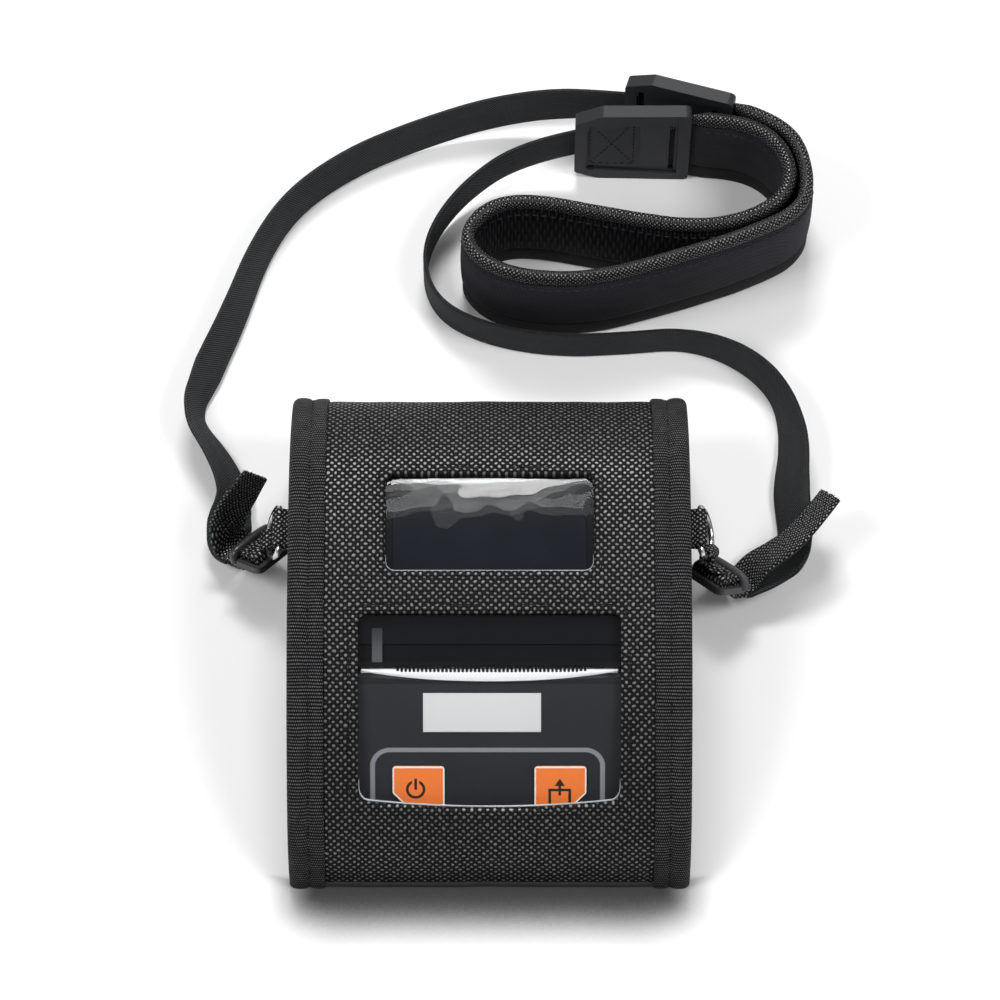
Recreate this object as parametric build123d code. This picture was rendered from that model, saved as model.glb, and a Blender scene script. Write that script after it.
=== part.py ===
from build123d import *

import math
import os

# Portable receipt printer in a nylon carrying case with a padded shoulder strap.
# The case lies on its back. X runs to the right, Y away from the near end, Z up,
# and the origin is under the middle of the case. Sizes are in millimetres.

# Paper path
PAPER_WIDTH = 79.5
PAPER_THICK = 0.2
ROLL_DIAMETER = 46.0
CORE_DIAMETER = 18.0
CORE_WALL = 1.6
PANEL_LENGTH = 55.0
SLOT_TO_ROLL = 58.0
REAR_SPACE = 18.0
PLATEN_RADIUS = 6.0
PLATEN_SHAFT_RADIUS = 2.5
PLATEN_FROM_EXIT = 8.5
PLATEN_BELOW_CREST = 22.0

# Case fabric
BACK_PANEL = 2.0
TAPE = 0.8
SKIN = 2.0
FILM = 0.4
GUSSET = 1.8
FASTENER_TAPE = 0.8
NEAR_WALL = 1.2
NEAR_WALL_HEIGHT = 13.0
BINDING_WIDTH = 11.0
BINDING_UNDER = 7.5
BINDING_SIDE = 1.3
FLAP_FOOT = 0.3
HEM_HEIGHT = 2.2
NEAR_RADIUS = 42.0
NEAR_CENTRE_Z = -4.0
FAR_RADIUS = 42.0
CREST_FLAT = 7.0
BACK_CORNER = 4.0
FLAP_HINGE_Z = 30.0
HINGE_GAP = 0.3

# Film windows, measured from the paper exit
UPPER_NEAR = 28.3
UPPER_FAR = 60.5
UPPER_HALF = 32.5
LOWER_FAR = 14.9
LOWER_CORNER = -37.4
LOWER_MIDDLE = -39.3
LOWER_HALF = 40.7
WINDOW_RADIUS = 3.0
FILM_SEAM = 6.0

# Printer housing
WALL = 2.2
SEAT_GAP = 0.3
CRADLE = 2.4
LID_CLEARANCE = 1.2
PRINTER_GAP = 0.6
SIDE_BAY = 18.25
SIDE_GAP = 1.4
PARTING_Z = 16.0
PANEL_FOOT_ANGLE = 50.0
PANEL_CROWN = 1.8
LID_BAY_SIDE = 10.25
LID_GAP = 0.4
LID_EDGE = 1.7
LID_STEP_FROM_EXIT = 7.0
LID_STEP = 0.8
SCOOP_HALF = 41.5
SCOOP_SIDE = 2.2
SCOOP_MIDDLE = 3.9
LID_HINGE_ANGLE = 50.0
LID_HINGE_DEPTH = 7.6
LID_PIN_RADIUS = 1.5
KNUCKLE_RADIUS = 3.2
WINDOW_PANE_HALF = 30.3
WINDOW_PANE_NEAR = 20.0
WINDOW_PANE_FAR = 51.6
WINDOW_PANE_RAISE = 0.7
WINDOW_LEDGE = 2.5

# Fits
RUNNING = 0.05
EASY = 0.25

# Webbing strap
WEBBING = 15.0
WEBBING_THICK = 1.3
PAD_WIDTH = 39.0
PAD_EDGE = 3.6
PAD_THICK = 4.6
FLOOR_GAP = 0.3
RING_WIRE = 1.0
RING_HALF = 8.0
RING_LEG = 2.5
RING_OUT = 5.8
RING_FROM_FAR = 43.0
RING_Z = 28.0
RING_DROOP = 68.0
TAB_WIDTH = 13.0

# Worked out from the above
CASE_SKIN_IN = TAPE + SKIN
CASE_UNDER = CASE_SKIN_IN + TAPE
PRINTER_INSET = CASE_UNDER + PRINTER_GAP
NEAR_WALL_INSET = CASE_SKIN_IN + 2 * FASTENER_TAPE + 0.2
PRINTER_NEAR_INSET = NEAR_WALL_INSET + NEAR_WALL + SEAT_GAP
GUSSET_INSET = CASE_UNDER + 0.4
BASE_Z = BACK_PANEL + SEAT_GAP
FLOOR_Z = BASE_Z + WALL
ROLL_RADIUS = ROLL_DIAMETER / 2
ROLL_Z = FLOOR_Z + CRADLE + ROLL_RADIUS
CASE_HEIGHT = ROLL_Z + ROLL_RADIUS + LID_CLEARANCE + WALL + PRINTER_INSET
CASE_LENGTH = PANEL_LENGTH + SLOT_TO_ROLL + ROLL_RADIUS + REAR_SPACE
NEAR_Y = -CASE_LENGTH / 2
FAR_Y = CASE_LENGTH / 2
EXIT_Y = NEAR_Y + PANEL_LENGTH
ROLL_Y = EXIT_Y + SLOT_TO_ROLL
PRINTER_HALF = PAPER_WIDTH / 2 + SIDE_BAY
GUSSET_IN = PRINTER_HALF + SIDE_GAP
GUSSET_OUT = GUSSET_IN + GUSSET
CASE_HALF = GUSSET_OUT + BINDING_SIDE
BAY_HALF = PAPER_WIDTH / 2 + LID_BAY_SIDE
LID_HALF = BAY_HALF - LID_GAP
PLATEN_Y = EXIT_Y + PLATEN_FROM_EXIT
PLATEN_Z = CASE_HEIGHT - PLATEN_BELOW_CREST

# Centres of the case's three arcs: near end, face and far end
NEAR_CENTRE = (NEAR_Y + math.sqrt(NEAR_RADIUS**2 - NEAR_CENTRE_Z**2), NEAR_CENTRE_Z)
FAR_CENTRE = (FAR_Y - FAR_RADIUS, CASE_HEIGHT - FAR_RADIUS)
CREST_Y = FAR_CENTRE[0] - CREST_FLAT
FACE_REACH = CREST_Y - NEAR_CENTRE[0]
FACE_RISE = CASE_HEIGHT - NEAR_CENTRE[1]
FACE_RADIUS = (FACE_REACH**2 + FACE_RISE**2 - NEAR_RADIUS**2) / (2 * (FACE_RISE - NEAR_RADIUS))
FACE_CENTRE = (CREST_Y, CASE_HEIGHT - FACE_RADIUS)
JOIN_ANGLE = math.degrees(math.asin(FACE_REACH / (FACE_RADIUS - NEAR_RADIUS)))

PIN_RADIUS_FROM_CENTRE = FAR_RADIUS - LID_HINGE_DEPTH
LID_PIN_Y = FAR_CENTRE[0] + PIN_RADIUS_FROM_CENTRE * math.sin(math.radians(LID_HINGE_ANGLE))
LID_PIN_Z = FAR_CENTRE[1] + PIN_RADIUS_FROM_CENTRE * math.cos(math.radians(LID_HINGE_ANGLE))


def on_arc(centre, radius, angle):
    """Point on an arc, its angle measured from straight up towards the near end."""
    turn = math.radians(angle)
    return (centre[0] - radius * math.sin(turn), centre[1] + radius * math.cos(turn))


def prism_x(face, low, high):
    """A profile drawn in Y and Z, carried from one X to another."""
    return extrude(Plane.YZ.offset(low) * face, amount=high - low, dir=(1, 0, 0))


def prism_y(face, low, high):
    """A profile drawn in X and Z, carried from one Y to another."""
    plane = Plane(origin=(0, low, 0), x_dir=(1, 0, 0), z_dir=(0, -1, 0))
    return extrude(plane * face, amount=high - low, dir=(0, 1, 0))


def prism_z(face, low, high):
    """A plan in X and Y, carried from one height to another."""
    return extrude(Pos(0, 0, low) * face, amount=high - low, dir=(0, 0, 1))


def span(low, high):
    """A solid box from its lowest to its highest corner."""
    size = [b - a for a, b in zip(low, high)]
    middle = [(a + b) / 2 for a, b in zip(low, high)]
    return Pos(*middle) * Box(*size)


def rect(y0, z0, y1, z1):
    """A rectangle face between two opposite corners."""
    return Pos((y0 + y1) / 2, (z0 + z1) / 2) * Rectangle(abs(y1 - y0), abs(z1 - z0))


def mirrored(shape):
    """The same piece on the left side."""
    return mirror(shape, about=Plane.YZ)


def near_foot(radius, height):
    """Y where the near end's arc stands at a height."""
    return NEAR_CENTRE[0] - math.sqrt(radius**2 - (height - NEAR_CENTRE[1]) ** 2)


def case_outline(inset, floor, corner=0.0):
    """The case's side profile, drawn in by an inset and cut off at a floor."""
    near = NEAR_RADIUS - inset
    face = FACE_RADIUS - inset
    far = FAR_RADIUS - inset
    foot = (near_foot(near, floor), floor)
    foot_angle = math.degrees(math.acos((floor - NEAR_CENTRE[1]) / near))
    join = on_arc(NEAR_CENTRE, near, JOIN_ANGLE)
    crest = (CREST_Y, CASE_HEIGHT - inset)
    shoulder = (FAR_CENTRE[0], CASE_HEIGHT - inset)
    side = (FAR_Y - inset, FAR_CENTRE[1])
    edges = [
        ThreePointArc(foot, on_arc(NEAR_CENTRE, near, (foot_angle + JOIN_ANGLE) / 2), join),
        ThreePointArc(join, on_arc(FACE_CENTRE, face, JOIN_ANGLE / 2), crest),
        Line(crest, shoulder),
        ThreePointArc(shoulder, on_arc(FAR_CENTRE, far, -45), side),
    ]
    back = (FAR_Y - inset - corner, floor)
    if corner > 0:
        heel = (FAR_Y - inset, floor + corner)
        turn = (FAR_Y - inset - corner, floor + corner)
        edges.append(Line(side, heel))
        edges.append(ThreePointArc(heel, on_arc(turn, corner, -135), back))
    else:
        edges.append(Line(side, back))
    edges.append(Line(back, foot))
    return make_face(Curve() + edges)


def flap_band(outer, inner, foot):
    """The flap's thickness between two insets, from its foot to its hinge."""
    band = case_outline(outer, foot) - case_outline(inner, foot)
    return band - rect(0, foot - 1, FAR_Y + 1, FLAP_HINGE_Z)


def printer_near_radius(inset):
    return NEAR_RADIUS - PRINTER_NEAR_INSET - inset


def panel_ends(inset):
    """Both ends of the control panel's arc: at its foot and at the paper exit."""
    foot = on_arc(NEAR_CENTRE, printer_near_radius(inset), PANEL_FOOT_ANGLE)
    radius = FACE_RADIUS - PRINTER_INSET - inset
    rise = math.sqrt(radius**2 - (EXIT_Y - 2 - FACE_CENTRE[0]) ** 2)
    return foot, (EXIT_Y - 2, FACE_CENTRE[1] + rise)


def panel_point(along, inset=0.0):
    """A point on the panel and its slope, by its share of the way up from the foot."""
    low, high = panel_ends(inset)
    chord = (high[0] - low[0], high[1] - low[1])
    length = math.hypot(*chord)
    radius = length**2 / (8 * PANEL_CROWN) + PANEL_CROWN / 2
    half = math.asin(length / 2 / radius)
    angle = half * (1 - 2 * along)
    middle = ((low[0] + high[0]) / 2, (low[1] + high[1]) / 2)
    outward = (-chord[1] / length, chord[0] / length)
    drop = radius - PANEL_CROWN
    centre = (middle[0] - outward[0] * drop, middle[1] - outward[1] * drop)
    chord_angle = math.atan2(chord[1], chord[0])
    slope = chord_angle + angle
    point = (centre[0] - radius * math.sin(slope), centre[1] + radius * math.cos(slope))
    return point, math.degrees(slope)


def panel_at(y):
    """The point and slope of the panel at a Y, found by halving."""
    low, high = 0.0, 1.0
    for _ in range(40):
        middle = (low + high) / 2
        if panel_point(middle)[0][0] < y:
            low = middle
        else:
            high = middle
    return panel_point(low)


def printer_outline(inset, floor):
    """The printer's side profile: panel, lid and far end."""
    near = printer_near_radius(inset)
    face = FACE_RADIUS - PRINTER_INSET - inset
    far = FAR_RADIUS - PRINTER_INSET - inset
    top = CASE_HEIGHT - PRINTER_INSET - inset
    foot = (near_foot(near, floor), floor)
    foot_angle = math.degrees(math.acos((floor - NEAR_CENTRE[1]) / near))
    panel_low, panel_high = panel_ends(inset)
    rim_angle = math.degrees(math.asin((CREST_Y - panel_high[0]) / face))
    side = FAR_Y - PRINTER_INSET - inset
    middle = on_arc(NEAR_CENTRE, near, (foot_angle + PANEL_FOOT_ANGLE) / 2)
    edges = [
        ThreePointArc(foot, middle, panel_low),
        ThreePointArc(panel_low, panel_point(0.5, inset)[0], panel_high),
        ThreePointArc(panel_high, on_arc(FACE_CENTRE, face, rim_angle / 2), (CREST_Y, top)),
        Line((CREST_Y, top), (FAR_CENTRE[0], top)),
        ThreePointArc((FAR_CENTRE[0], top), on_arc(FAR_CENTRE, far, -45), (side, FAR_CENTRE[1])),
        Line((side, FAR_CENTRE[1]), (side, floor)),
        Line((side, floor), foot),
    ]
    return make_face(Curve() + edges)


# Carrying case


def case_back():
    """Back panel, far end and near end wall, cut from one strip of padded nylon."""
    frame = case_outline(TAPE, 0, BACK_CORNER) - case_outline(CASE_SKIN_IN, BACK_PANEL, BACK_CORNER - SKIN)
    near_edge = near_foot(NEAR_RADIUS - NEAR_WALL_INSET, 0)
    keep = rect(near_edge, 0, FAR_Y, BACK_PANEL) + rect(0, 0, FAR_Y, FLAP_HINGE_Z - HINGE_GAP)
    strip = prism_x(frame & keep, -GUSSET_OUT, GUSSET_OUT)
    wall = case_outline(NEAR_WALL_INSET, 0) - case_outline(NEAR_WALL_INSET + NEAR_WALL, 0)
    wall = wall & rect(NEAR_Y, BACK_PANEL / 2, NEAR_Y / 2, NEAR_WALL_HEIGHT)
    return strip + prism_x(wall, -GUSSET_IN, GUSSET_IN)


def case_gusset():
    """Right side panel, standing on the back panel."""
    corner = BACK_CORNER - SKIN
    return prism_x(case_outline(GUSSET_INSET, BACK_PANEL, corner), GUSSET_IN, GUSSET_OUT)


def body_binding():
    """Binding tape of the case's far end, under the flap's fold."""
    band = case_outline(0, BACK_CORNER + 1) - case_outline(TAPE, BACK_CORNER + 1)
    band = band & rect(0, BACK_CORNER + 1, FAR_Y, FLAP_HINGE_Z - HINGE_GAP)
    side = case_outline(0, BACK_CORNER + 1) - case_outline(CASE_UNDER, BACK_CORNER + 1)
    side = side & rect(0, BACK_CORNER + 1, FAR_Y, FLAP_HINGE_Z - HINGE_GAP)
    tape = prism_x(band, CASE_HALF - BINDING_WIDTH, GUSSET_OUT)
    return tape + prism_x(side, GUSSET_OUT, CASE_HALF)


def window_plan(half, near, far, middle=None):
    """A window's plan with rounded corners; its near edge may bow towards the near end."""
    middle = near if middle is None else middle
    corners = [(-half, near), (-half, far), (half, far), (half, near)]
    sides = [Line(corners[i], corners[i + 1]) for i in range(3)]
    if middle < near:
        sides.append(ThreePointArc(corners[3], (0, middle), corners[0]))
    else:
        sides.append(Line(corners[3], corners[0]))
    plan = make_face(Curve() + sides)
    return fillet(plan.vertices(), WINDOW_RADIUS)


def upper_window():
    return window_plan(UPPER_HALF, EXIT_Y + UPPER_NEAR, EXIT_Y + UPPER_FAR)


def lower_window():
    return window_plan(LOWER_HALF, EXIT_Y + LOWER_CORNER, EXIT_Y + LOWER_FAR, EXIT_Y + LOWER_MIDDLE)


def flap_panel():
    """Face, near end and far arc of the case in one piece, with two windows."""
    panel = prism_x(flap_band(TAPE, CASE_SKIN_IN, FLAP_FOOT + TAPE), -GUSSET_OUT, GUSSET_OUT)
    for plan in (upper_window(), lower_window()):
        panel = panel - prism_z(plan, FLAP_FOOT, CASE_HEIGHT + 1)
    return panel


def flap_binding():
    """Tape folded round the flap's right edge: outside, edge and inside layers."""
    outside = prism_x(flap_band(0, TAPE, FLAP_FOOT), CASE_HALF - BINDING_WIDTH, GUSSET_OUT)
    edge = prism_x(flap_band(0, CASE_UNDER, FLAP_FOOT), GUSSET_OUT, CASE_HALF)
    inner = CASE_HALF - BINDING_UNDER
    inside = prism_x(flap_band(CASE_SKIN_IN, CASE_UNDER, FLAP_FOOT), inner, GUSSET_OUT)
    return outside + edge + inside


def flap_hem():
    """Smooth tape folded under the flap's near edge."""
    keep = rect(NEAR_Y, FLAP_FOOT, NEAR_Y / 2, FLAP_FOOT + HEM_HEIGHT)
    fold = flap_band(0.1, CASE_UNDER - 0.1, FLAP_FOOT) & keep
    fold = fold - flap_band(TAPE, CASE_SKIN_IN, FLAP_FOOT + TAPE)
    half = CASE_HALF - BINDING_WIDTH - 0.2
    return prism_x(fold, -half, half)


def window_film(half, near, far):
    """Clear film sewn behind a window."""
    band = flap_band(CASE_SKIN_IN, CASE_SKIN_IN + FILM, FLAP_FOOT)
    sheet = prism_x(band, -half - FILM_SEAM, half + FILM_SEAM)
    low = (-CASE_HALF, EXIT_Y + near - FILM_SEAM, FLAP_FOOT)
    high = (CASE_HALF, EXIT_Y + far + FILM_SEAM, CASE_HEIGHT)
    return sheet & span(low, high)


def fastener_tape(inset, low_z, high_z, half):
    """Hook or loop tape on the near end."""
    tape = case_outline(inset, 0) - case_outline(inset + FASTENER_TAPE, 0)
    tape = tape & rect(NEAR_Y, low_z, NEAR_Y / 2, high_z)
    return prism_x(tape, -half, half)


# D-rings and their tabs

RING_X = GUSSET_OUT + RING_OUT
RING_Y = FAR_Y - RING_FROM_FAR


def ring_tab():
    """Webbing tab sewn to the right gusset, looped round the ring's straight side."""
    eye_radius = RING_WIRE + RUNNING + WEBBING_THICK
    eye = Pos(RING_X, RING_Z) * Circle(eye_radius)
    tongue = rect(GUSSET_OUT, RING_Z - WEBBING_THICK, RING_X, RING_Z + WEBBING_THICK)
    profile = eye + tongue - Pos(RING_X, RING_Z) * Circle(RING_WIRE + RUNNING)
    return prism_y(profile, RING_Y - TAB_WIDTH / 2, RING_Y + TAB_WIDTH / 2)


def d_ring(wire=RING_WIRE):
    """Wire D-ring, its straight side in the tab and its bow hanging outwards."""
    droop = math.radians(RING_DROOP)
    plane = Plane(
        origin=(RING_X, RING_Y, RING_Z),
        x_dir=(math.cos(droop), 0, -math.sin(droop)),
        z_dir=(math.sin(droop), 0, math.cos(droop)),
    )
    corner = 1.8
    start = (0, 0)
    path = Curve() + [
        Line(start, (0, RING_HALF - corner)),
        ThreePointArc(
            (0, RING_HALF - corner),
            (corner * (1 - math.sqrt(0.5)), RING_HALF - corner * (1 - math.sqrt(0.5))),
            (corner, RING_HALF),
        ),
        Line((corner, RING_HALF), (RING_LEG, RING_HALF)),
        ThreePointArc((RING_LEG, RING_HALF), (RING_LEG + RING_HALF, 0), (RING_LEG, -RING_HALF)),
        Line((RING_LEG, -RING_HALF), (corner, -RING_HALF)),
        ThreePointArc(
            (corner, -RING_HALF),
            (corner * (1 - math.sqrt(0.5)), -RING_HALF + corner * (1 - math.sqrt(0.5))),
            (0, -RING_HALF + corner),
        ),
        Line((0, -RING_HALF + corner), start),
    ]
    section = Plane(origin=(0, 0, 0), x_dir=(1, 0, 0), z_dir=(0, 1, 0)) * Circle(wire)
    return plane * sweep(section, path=path.wires()[0])


# Printer housing


def printer_block(inset, floor, half):
    return prism_x(printer_outline(inset, floor), -half, half)


SCREWS_X = PRINTER_HALF - WALL - 2.6
SCREW_NEAR_Y = EXIT_Y - 22.0
SCREW_FAR_Y = FAR_Y - 15.0
SCREW_PLACES = [(side * SCREWS_X, y) for side in (-1, 1) for y in (SCREW_NEAR_Y, SCREW_FAR_Y)]
BOSS_RADIUS = 3.0
SCREW_RADIUS = 1.25
SCREW_TOP = PARTING_Z + 5.0
BATTERY_LENGTH = 62.0
BATTERY_WIDTH = 37.0
BATTERY_HEIGHT = 18.5
BATTERY_X = -7.5
BATTERY_Y = EXIT_Y - 1.0
COVER_MARGIN = 3.0
GUIDE_WALL = 1.6
GUIDE_GAP = 1.2
CRADLE_RIB = 2.0


def base_shell():
    """Lower housing with roll cradle, paper guides, screw posts and battery opening."""
    shell = printer_block(0, BASE_Z, PRINTER_HALF) - printer_block(WALL, FLOOR_Z, PRINTER_HALF - WALL)
    shell = shell & span((-CASE_HALF, NEAR_Y, 0), (CASE_HALF, FAR_Y, PARTING_Z))
    well_near = EXIT_Y + 25.0
    well_far = FAR_Y - PRINTER_INSET - WALL
    reach = ROLL_RADIUS * 0.45
    cradle = rect(ROLL_Y - reach, FLOOR_Z - 0.5, ROLL_Y + reach, ROLL_Z)
    cradle = cradle - Pos(ROLL_Y, ROLL_Z) * Circle(ROLL_RADIUS + SEAT_GAP)
    for x in (-PAPER_WIDTH * 0.4, 0, PAPER_WIDTH * 0.4):
        shell = shell + prism_x(cradle, x - CRADLE_RIB / 2, x + CRADLE_RIB / 2)
    guide = PAPER_WIDTH / 2 + GUIDE_GAP
    for side in (-1, 1):
        ends = sorted((side * guide, side * (guide + GUIDE_WALL)))
        shell = shell + span((ends[0], well_near, FLOOR_Z - 0.5), (ends[1], well_far - 2.0, BRACKET_Z))
    for x, y in SCREW_PLACES:
        middle = (FLOOR_Z + PARTING_Z) / 2 - 0.3
        shell = shell + Pos(x, y, middle) * Cylinder(BOSS_RADIUS, PARTING_Z - FLOOR_Z + 0.6)
        shell = shell - Pos(x, y, PARTING_Z / 2) * Cylinder(SCREW_RADIUS + RUNNING, PARTING_Z + 2)
        shell = shell - Pos(x, y, BASE_Z + 0.8) * Cylinder(2.4, 1.8)
    for x in BRACKET_POSTS:
        post_z = (FLOOR_Z + BRACKET_Z) / 2 - 0.25
        shell = shell + Pos(x, BRACKET_POST_Y, post_z) * Cylinder(1.6, BRACKET_Z - FLOOR_Z + 0.5)
    shell = shell & span((-CASE_HALF, NEAR_Y, 0), (CASE_HALF, FAR_Y, BRACKET_Z))
    return shell - battery_plan(EASY, BASE_Z - 1, FLOOR_Z + 1)


def battery_plan(grow, low, high):
    """The battery opening, grown all round."""
    half_x = BATTERY_LENGTH / 2 - COVER_MARGIN + grow
    half_y = BATTERY_WIDTH / 2 - COVER_MARGIN + grow
    plan = RectangleRounded(2 * half_x, 2 * half_y, 3.0 + grow)
    return prism_z(Pos(BATTERY_X, BATTERY_Y) * plan, low, high)


def battery_cover():
    """Plate in the housing's floor, with finger ribs."""
    cover = battery_plan(0, BASE_Z, FLOOR_Z)
    for step in range(4):
        cover = cover - span(
            (BATTERY_X - 9, BATTERY_Y - 12 + 2.4 * step, BASE_Z - 1),
            (BATTERY_X + 9, BATTERY_Y - 11 + 2.4 * step, BASE_Z + 0.6),
        )
    return cover


def battery_pack():
    """Two cells side by side in one sleeve, above the floor."""
    radius = BATTERY_HEIGHT / 2
    centre_z = FLOOR_Z + SEAT_GAP + radius
    reach = BATTERY_WIDTH / 2 - radius
    profile = rect(BATTERY_Y - reach, centre_z - radius, BATTERY_Y + reach, centre_z + radius)
    for side in (-1, 1):
        profile = profile + Pos(BATTERY_Y + side * reach, centre_z) * Circle(radius)
    return prism_x(profile, BATTERY_X - BATTERY_LENGTH / 2, BATTERY_X + BATTERY_LENGTH / 2)


# Control panel and its buttons

BUTTON_WIDTH = 16.1
BUTTON_LENGTH = 16.1
BUTTON_CHAMFER = 7.5
BUTTON_X = 22.0
BUTTON_FROM_EXIT = 32.6
BUTTON_STAND = 0.5
BUTTON_TRAVEL = 0.6
BUTTON_FLANGE = 1.0
OVERLAY = 0.3
PLATE_WIDTH = 36.5
PLATE_X = -2.3
PLATE_FAR = 7.2
PLATE_NEAR = 17.6
BOARD_DEPTH = 8.0
BOARD_THICK = 1.6
BOARD_LENGTH = 24.0
SWITCH_SIDE = 6.0
SWITCH_HEIGHT = 2.4


def button_plane(side):
    """Plane on the panel under a button, its normal out of the panel."""
    (y, z), slope = panel_at(EXIT_Y - BUTTON_FROM_EXIT)
    angle = math.radians(slope)
    outward = (0, -math.sin(angle), math.cos(angle))
    return Plane(origin=(side * BUTTON_X, y, z), x_dir=(1, 0, 0), z_dir=outward)


def button_shape(side, grow):
    """A square key with its outer near corner cut off."""
    w = BUTTON_WIDTH / 2
    h = BUTTON_LENGTH / 2
    cut = BUTTON_CHAMFER
    inner = -w * side
    outer = w * side
    points = [(inner, -h), (inner, h), (outer, h), (outer, -h + cut), (outer - cut * side, -h)]
    key = make_face(Polyline(*points, close=True))
    key = fillet(key.vertices(), 1.0)
    return offset(key, amount=grow) if grow else key


def panel_button(side):
    """Key with a flange under the housing skin and a stem above its switch."""
    plane = button_plane(side)
    skin = -WALL - SEAT_GAP
    cap = extrude(plane.offset(skin) * button_shape(side, 0), amount=OVERLAY + BUTTON_STAND - skin)
    flange = extrude(plane.offset(skin - BUTTON_FLANGE) * button_shape(side, 1.2), amount=BUTTON_FLANGE)
    stem_top = skin - BUTTON_FLANGE
    stem_low = -BOARD_DEPTH + SWITCH_HEIGHT + BUTTON_TRAVEL + 0.1
    stem = extrude(plane.offset(stem_low) * Circle(1.8), amount=stem_top - stem_low)
    return cap + flange + stem


def key_switches():
    """Two tact switches on the board, one under each key."""
    switches = []
    for side in (-1, 1):
        plane = button_plane(side)
        body = extrude(plane.offset(-BOARD_DEPTH) * Rectangle(SWITCH_SIDE, SWITCH_SIDE), amount=SWITCH_HEIGHT)
        switches.append(body)
    return Compound(children=switches)


def main_board():
    """Circuit board on the panel's slope, under the keys."""
    plane = button_plane(0)
    half = PRINTER_HALF - WALL - 7.5
    sheet = Pos(0, BOARD_LENGTH / 2 - SWITCH_SIDE) * Rectangle(2 * half, BOARD_LENGTH)
    board = extrude(plane.offset(-BOARD_DEPTH) * sheet, amount=-BOARD_THICK)
    return board


def panel_skin(low, high, half, near, far):
    """A thin layer on the panel, between two heights above it."""
    layer = printer_outline(-high, PARTING_Z) - printer_outline(-low, PARTING_Z - 0.5)
    return prism_x(layer, -half, half) & span((-CASE_HALF, near, 0), (CASE_HALF, far, CASE_HEIGHT))


def panel_overlay():
    """Printed film on the panel, cut out for the keys."""
    near = panel_ends(0)[0][0] + 0.3
    overlay = panel_skin(0, OVERLAY, PRINTER_HALF - 3, near, EXIT_Y - 4.6)
    for side in (-1, 1):
        overlay = overlay - extrude(button_plane(side).offset(-2) * button_shape(side, EASY), amount=5)
    return overlay


def name_plate():
    """Blank plate on the overlay."""
    plate = panel_skin(OVERLAY, 2 * OVERLAY, PRINTER_HALF, EXIT_Y - PLATE_NEAR, EXIT_Y - PLATE_FAR)
    low = (PLATE_X - PLATE_WIDTH / 2, NEAR_Y, 0)
    high = (PLATE_X + PLATE_WIDTH / 2, FAR_Y, CASE_HEIGHT)
    return plate & span(low, high)


HINGE_EAR_X = 44.2
HINGE_EAR = 3.0
REAR_EDGE = 4.2
HINGE_PIN_HALF = HINGE_EAR_X + HINGE_EAR
RELEASE_Y = 17.0
RELEASE_Z = 34.0
RELEASE_TRAVEL = 2.0


def upper_housing():
    """Upper housing: panel, side rails, lid bay, hinge ears and screw bosses."""
    shell = printer_block(0, PARTING_Z, PRINTER_HALF)
    shell = shell - printer_block(WALL, PARTING_Z - 1, PRINTER_HALF - WALL)
    for side in (-1, 1):
        shell = shell - extrude(button_plane(side).offset(-6) * button_shape(side, EASY), amount=9)
    rail = printer_outline(WALL / 2, PARTING_Z) & rect(EXIT_Y, PARTING_Z, FAR_Y, CASE_HEIGHT)
    for side in (-1, 1):
        ends = sorted((side * BAY_HALF, side * (BAY_HALF + 1.8)))
        shell = shell + prism_x(rail, ends[0], ends[1])
    bay_far = LID_PIN_Y + REAR_EDGE
    shell = shell - span((-BAY_HALF, EXIT_Y, PARTING_Z - 1), (BAY_HALF, bay_far, CASE_HEIGHT))
    scoop = Curve() + [
        Line((-SCOOP_HALF, EXIT_Y + 1), (-SCOOP_HALF, EXIT_Y - SCOOP_SIDE)),
        ThreePointArc(
            (-SCOOP_HALF, EXIT_Y - SCOOP_SIDE), (0, EXIT_Y - SCOOP_MIDDLE), (SCOOP_HALF, EXIT_Y - SCOOP_SIDE)
        ),
        Line((SCOOP_HALF, EXIT_Y - SCOOP_SIDE), (SCOOP_HALF, EXIT_Y + 1)),
        Line((SCOOP_HALF, EXIT_Y + 1), (-SCOOP_HALF, EXIT_Y + 1)),
    ]
    shell = shell - prism_z(make_face(scoop), PARTING_Z, CASE_HEIGHT)
    pin = Pos(LID_PIN_Y, LID_PIN_Z) * Circle(KNUCKLE_RADIUS)
    arm = rect(LID_PIN_Y, LID_PIN_Z - KNUCKLE_RADIUS, FAR_Y, LID_PIN_Z + 0.5)
    arm = (pin + arm) & printer_outline(WALL / 2, PARTING_Z)
    arm = arm - Pos(LID_PIN_Y, LID_PIN_Z) * Circle(LID_PIN_RADIUS + RUNNING)
    for side in (-1, 1):
        ends = sorted((side * HINGE_EAR_X, side * (HINGE_EAR_X + HINGE_EAR)))
        shell = shell + prism_x(arm, ends[0], ends[1])
    for x, y in SCREW_PLACES:
        boss = Pos(x, y, PARTING_Z + 3.5) * Cylinder(BOSS_RADIUS, 7.0)
        shell = shell + (boss & printer_block(WALL / 2, PARTING_Z, PRINTER_HALF))
        shell = shell - Pos(x, y, PARTING_Z + 2.4) * Cylinder(SCREW_RADIUS + RUNNING, 5.8)
    hole = Pos(EXIT_Y + RELEASE_Y, RELEASE_Z) * RectangleRounded(12 + 2 * EASY, 7 + 2 * EASY, 2 + EASY)
    return shell - prism_x(hole, PRINTER_HALF - WALL - 1, PRINTER_HALF + 1)


def release_button():
    """Lid release in the right side wall, with a flange inside the wall."""
    cap = Pos(EXIT_Y + RELEASE_Y, RELEASE_Z) * RectangleRounded(12, 7, 2)
    flange = Pos(EXIT_Y + RELEASE_Y, RELEASE_Z) * Rectangle(14, 9)
    inner = PRINTER_HALF - WALL - SEAT_GAP
    body = prism_x(cap, inner - 1, PRINTER_HALF + 0.6) + prism_x(flange, inner - 1, inner)
    return body


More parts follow.
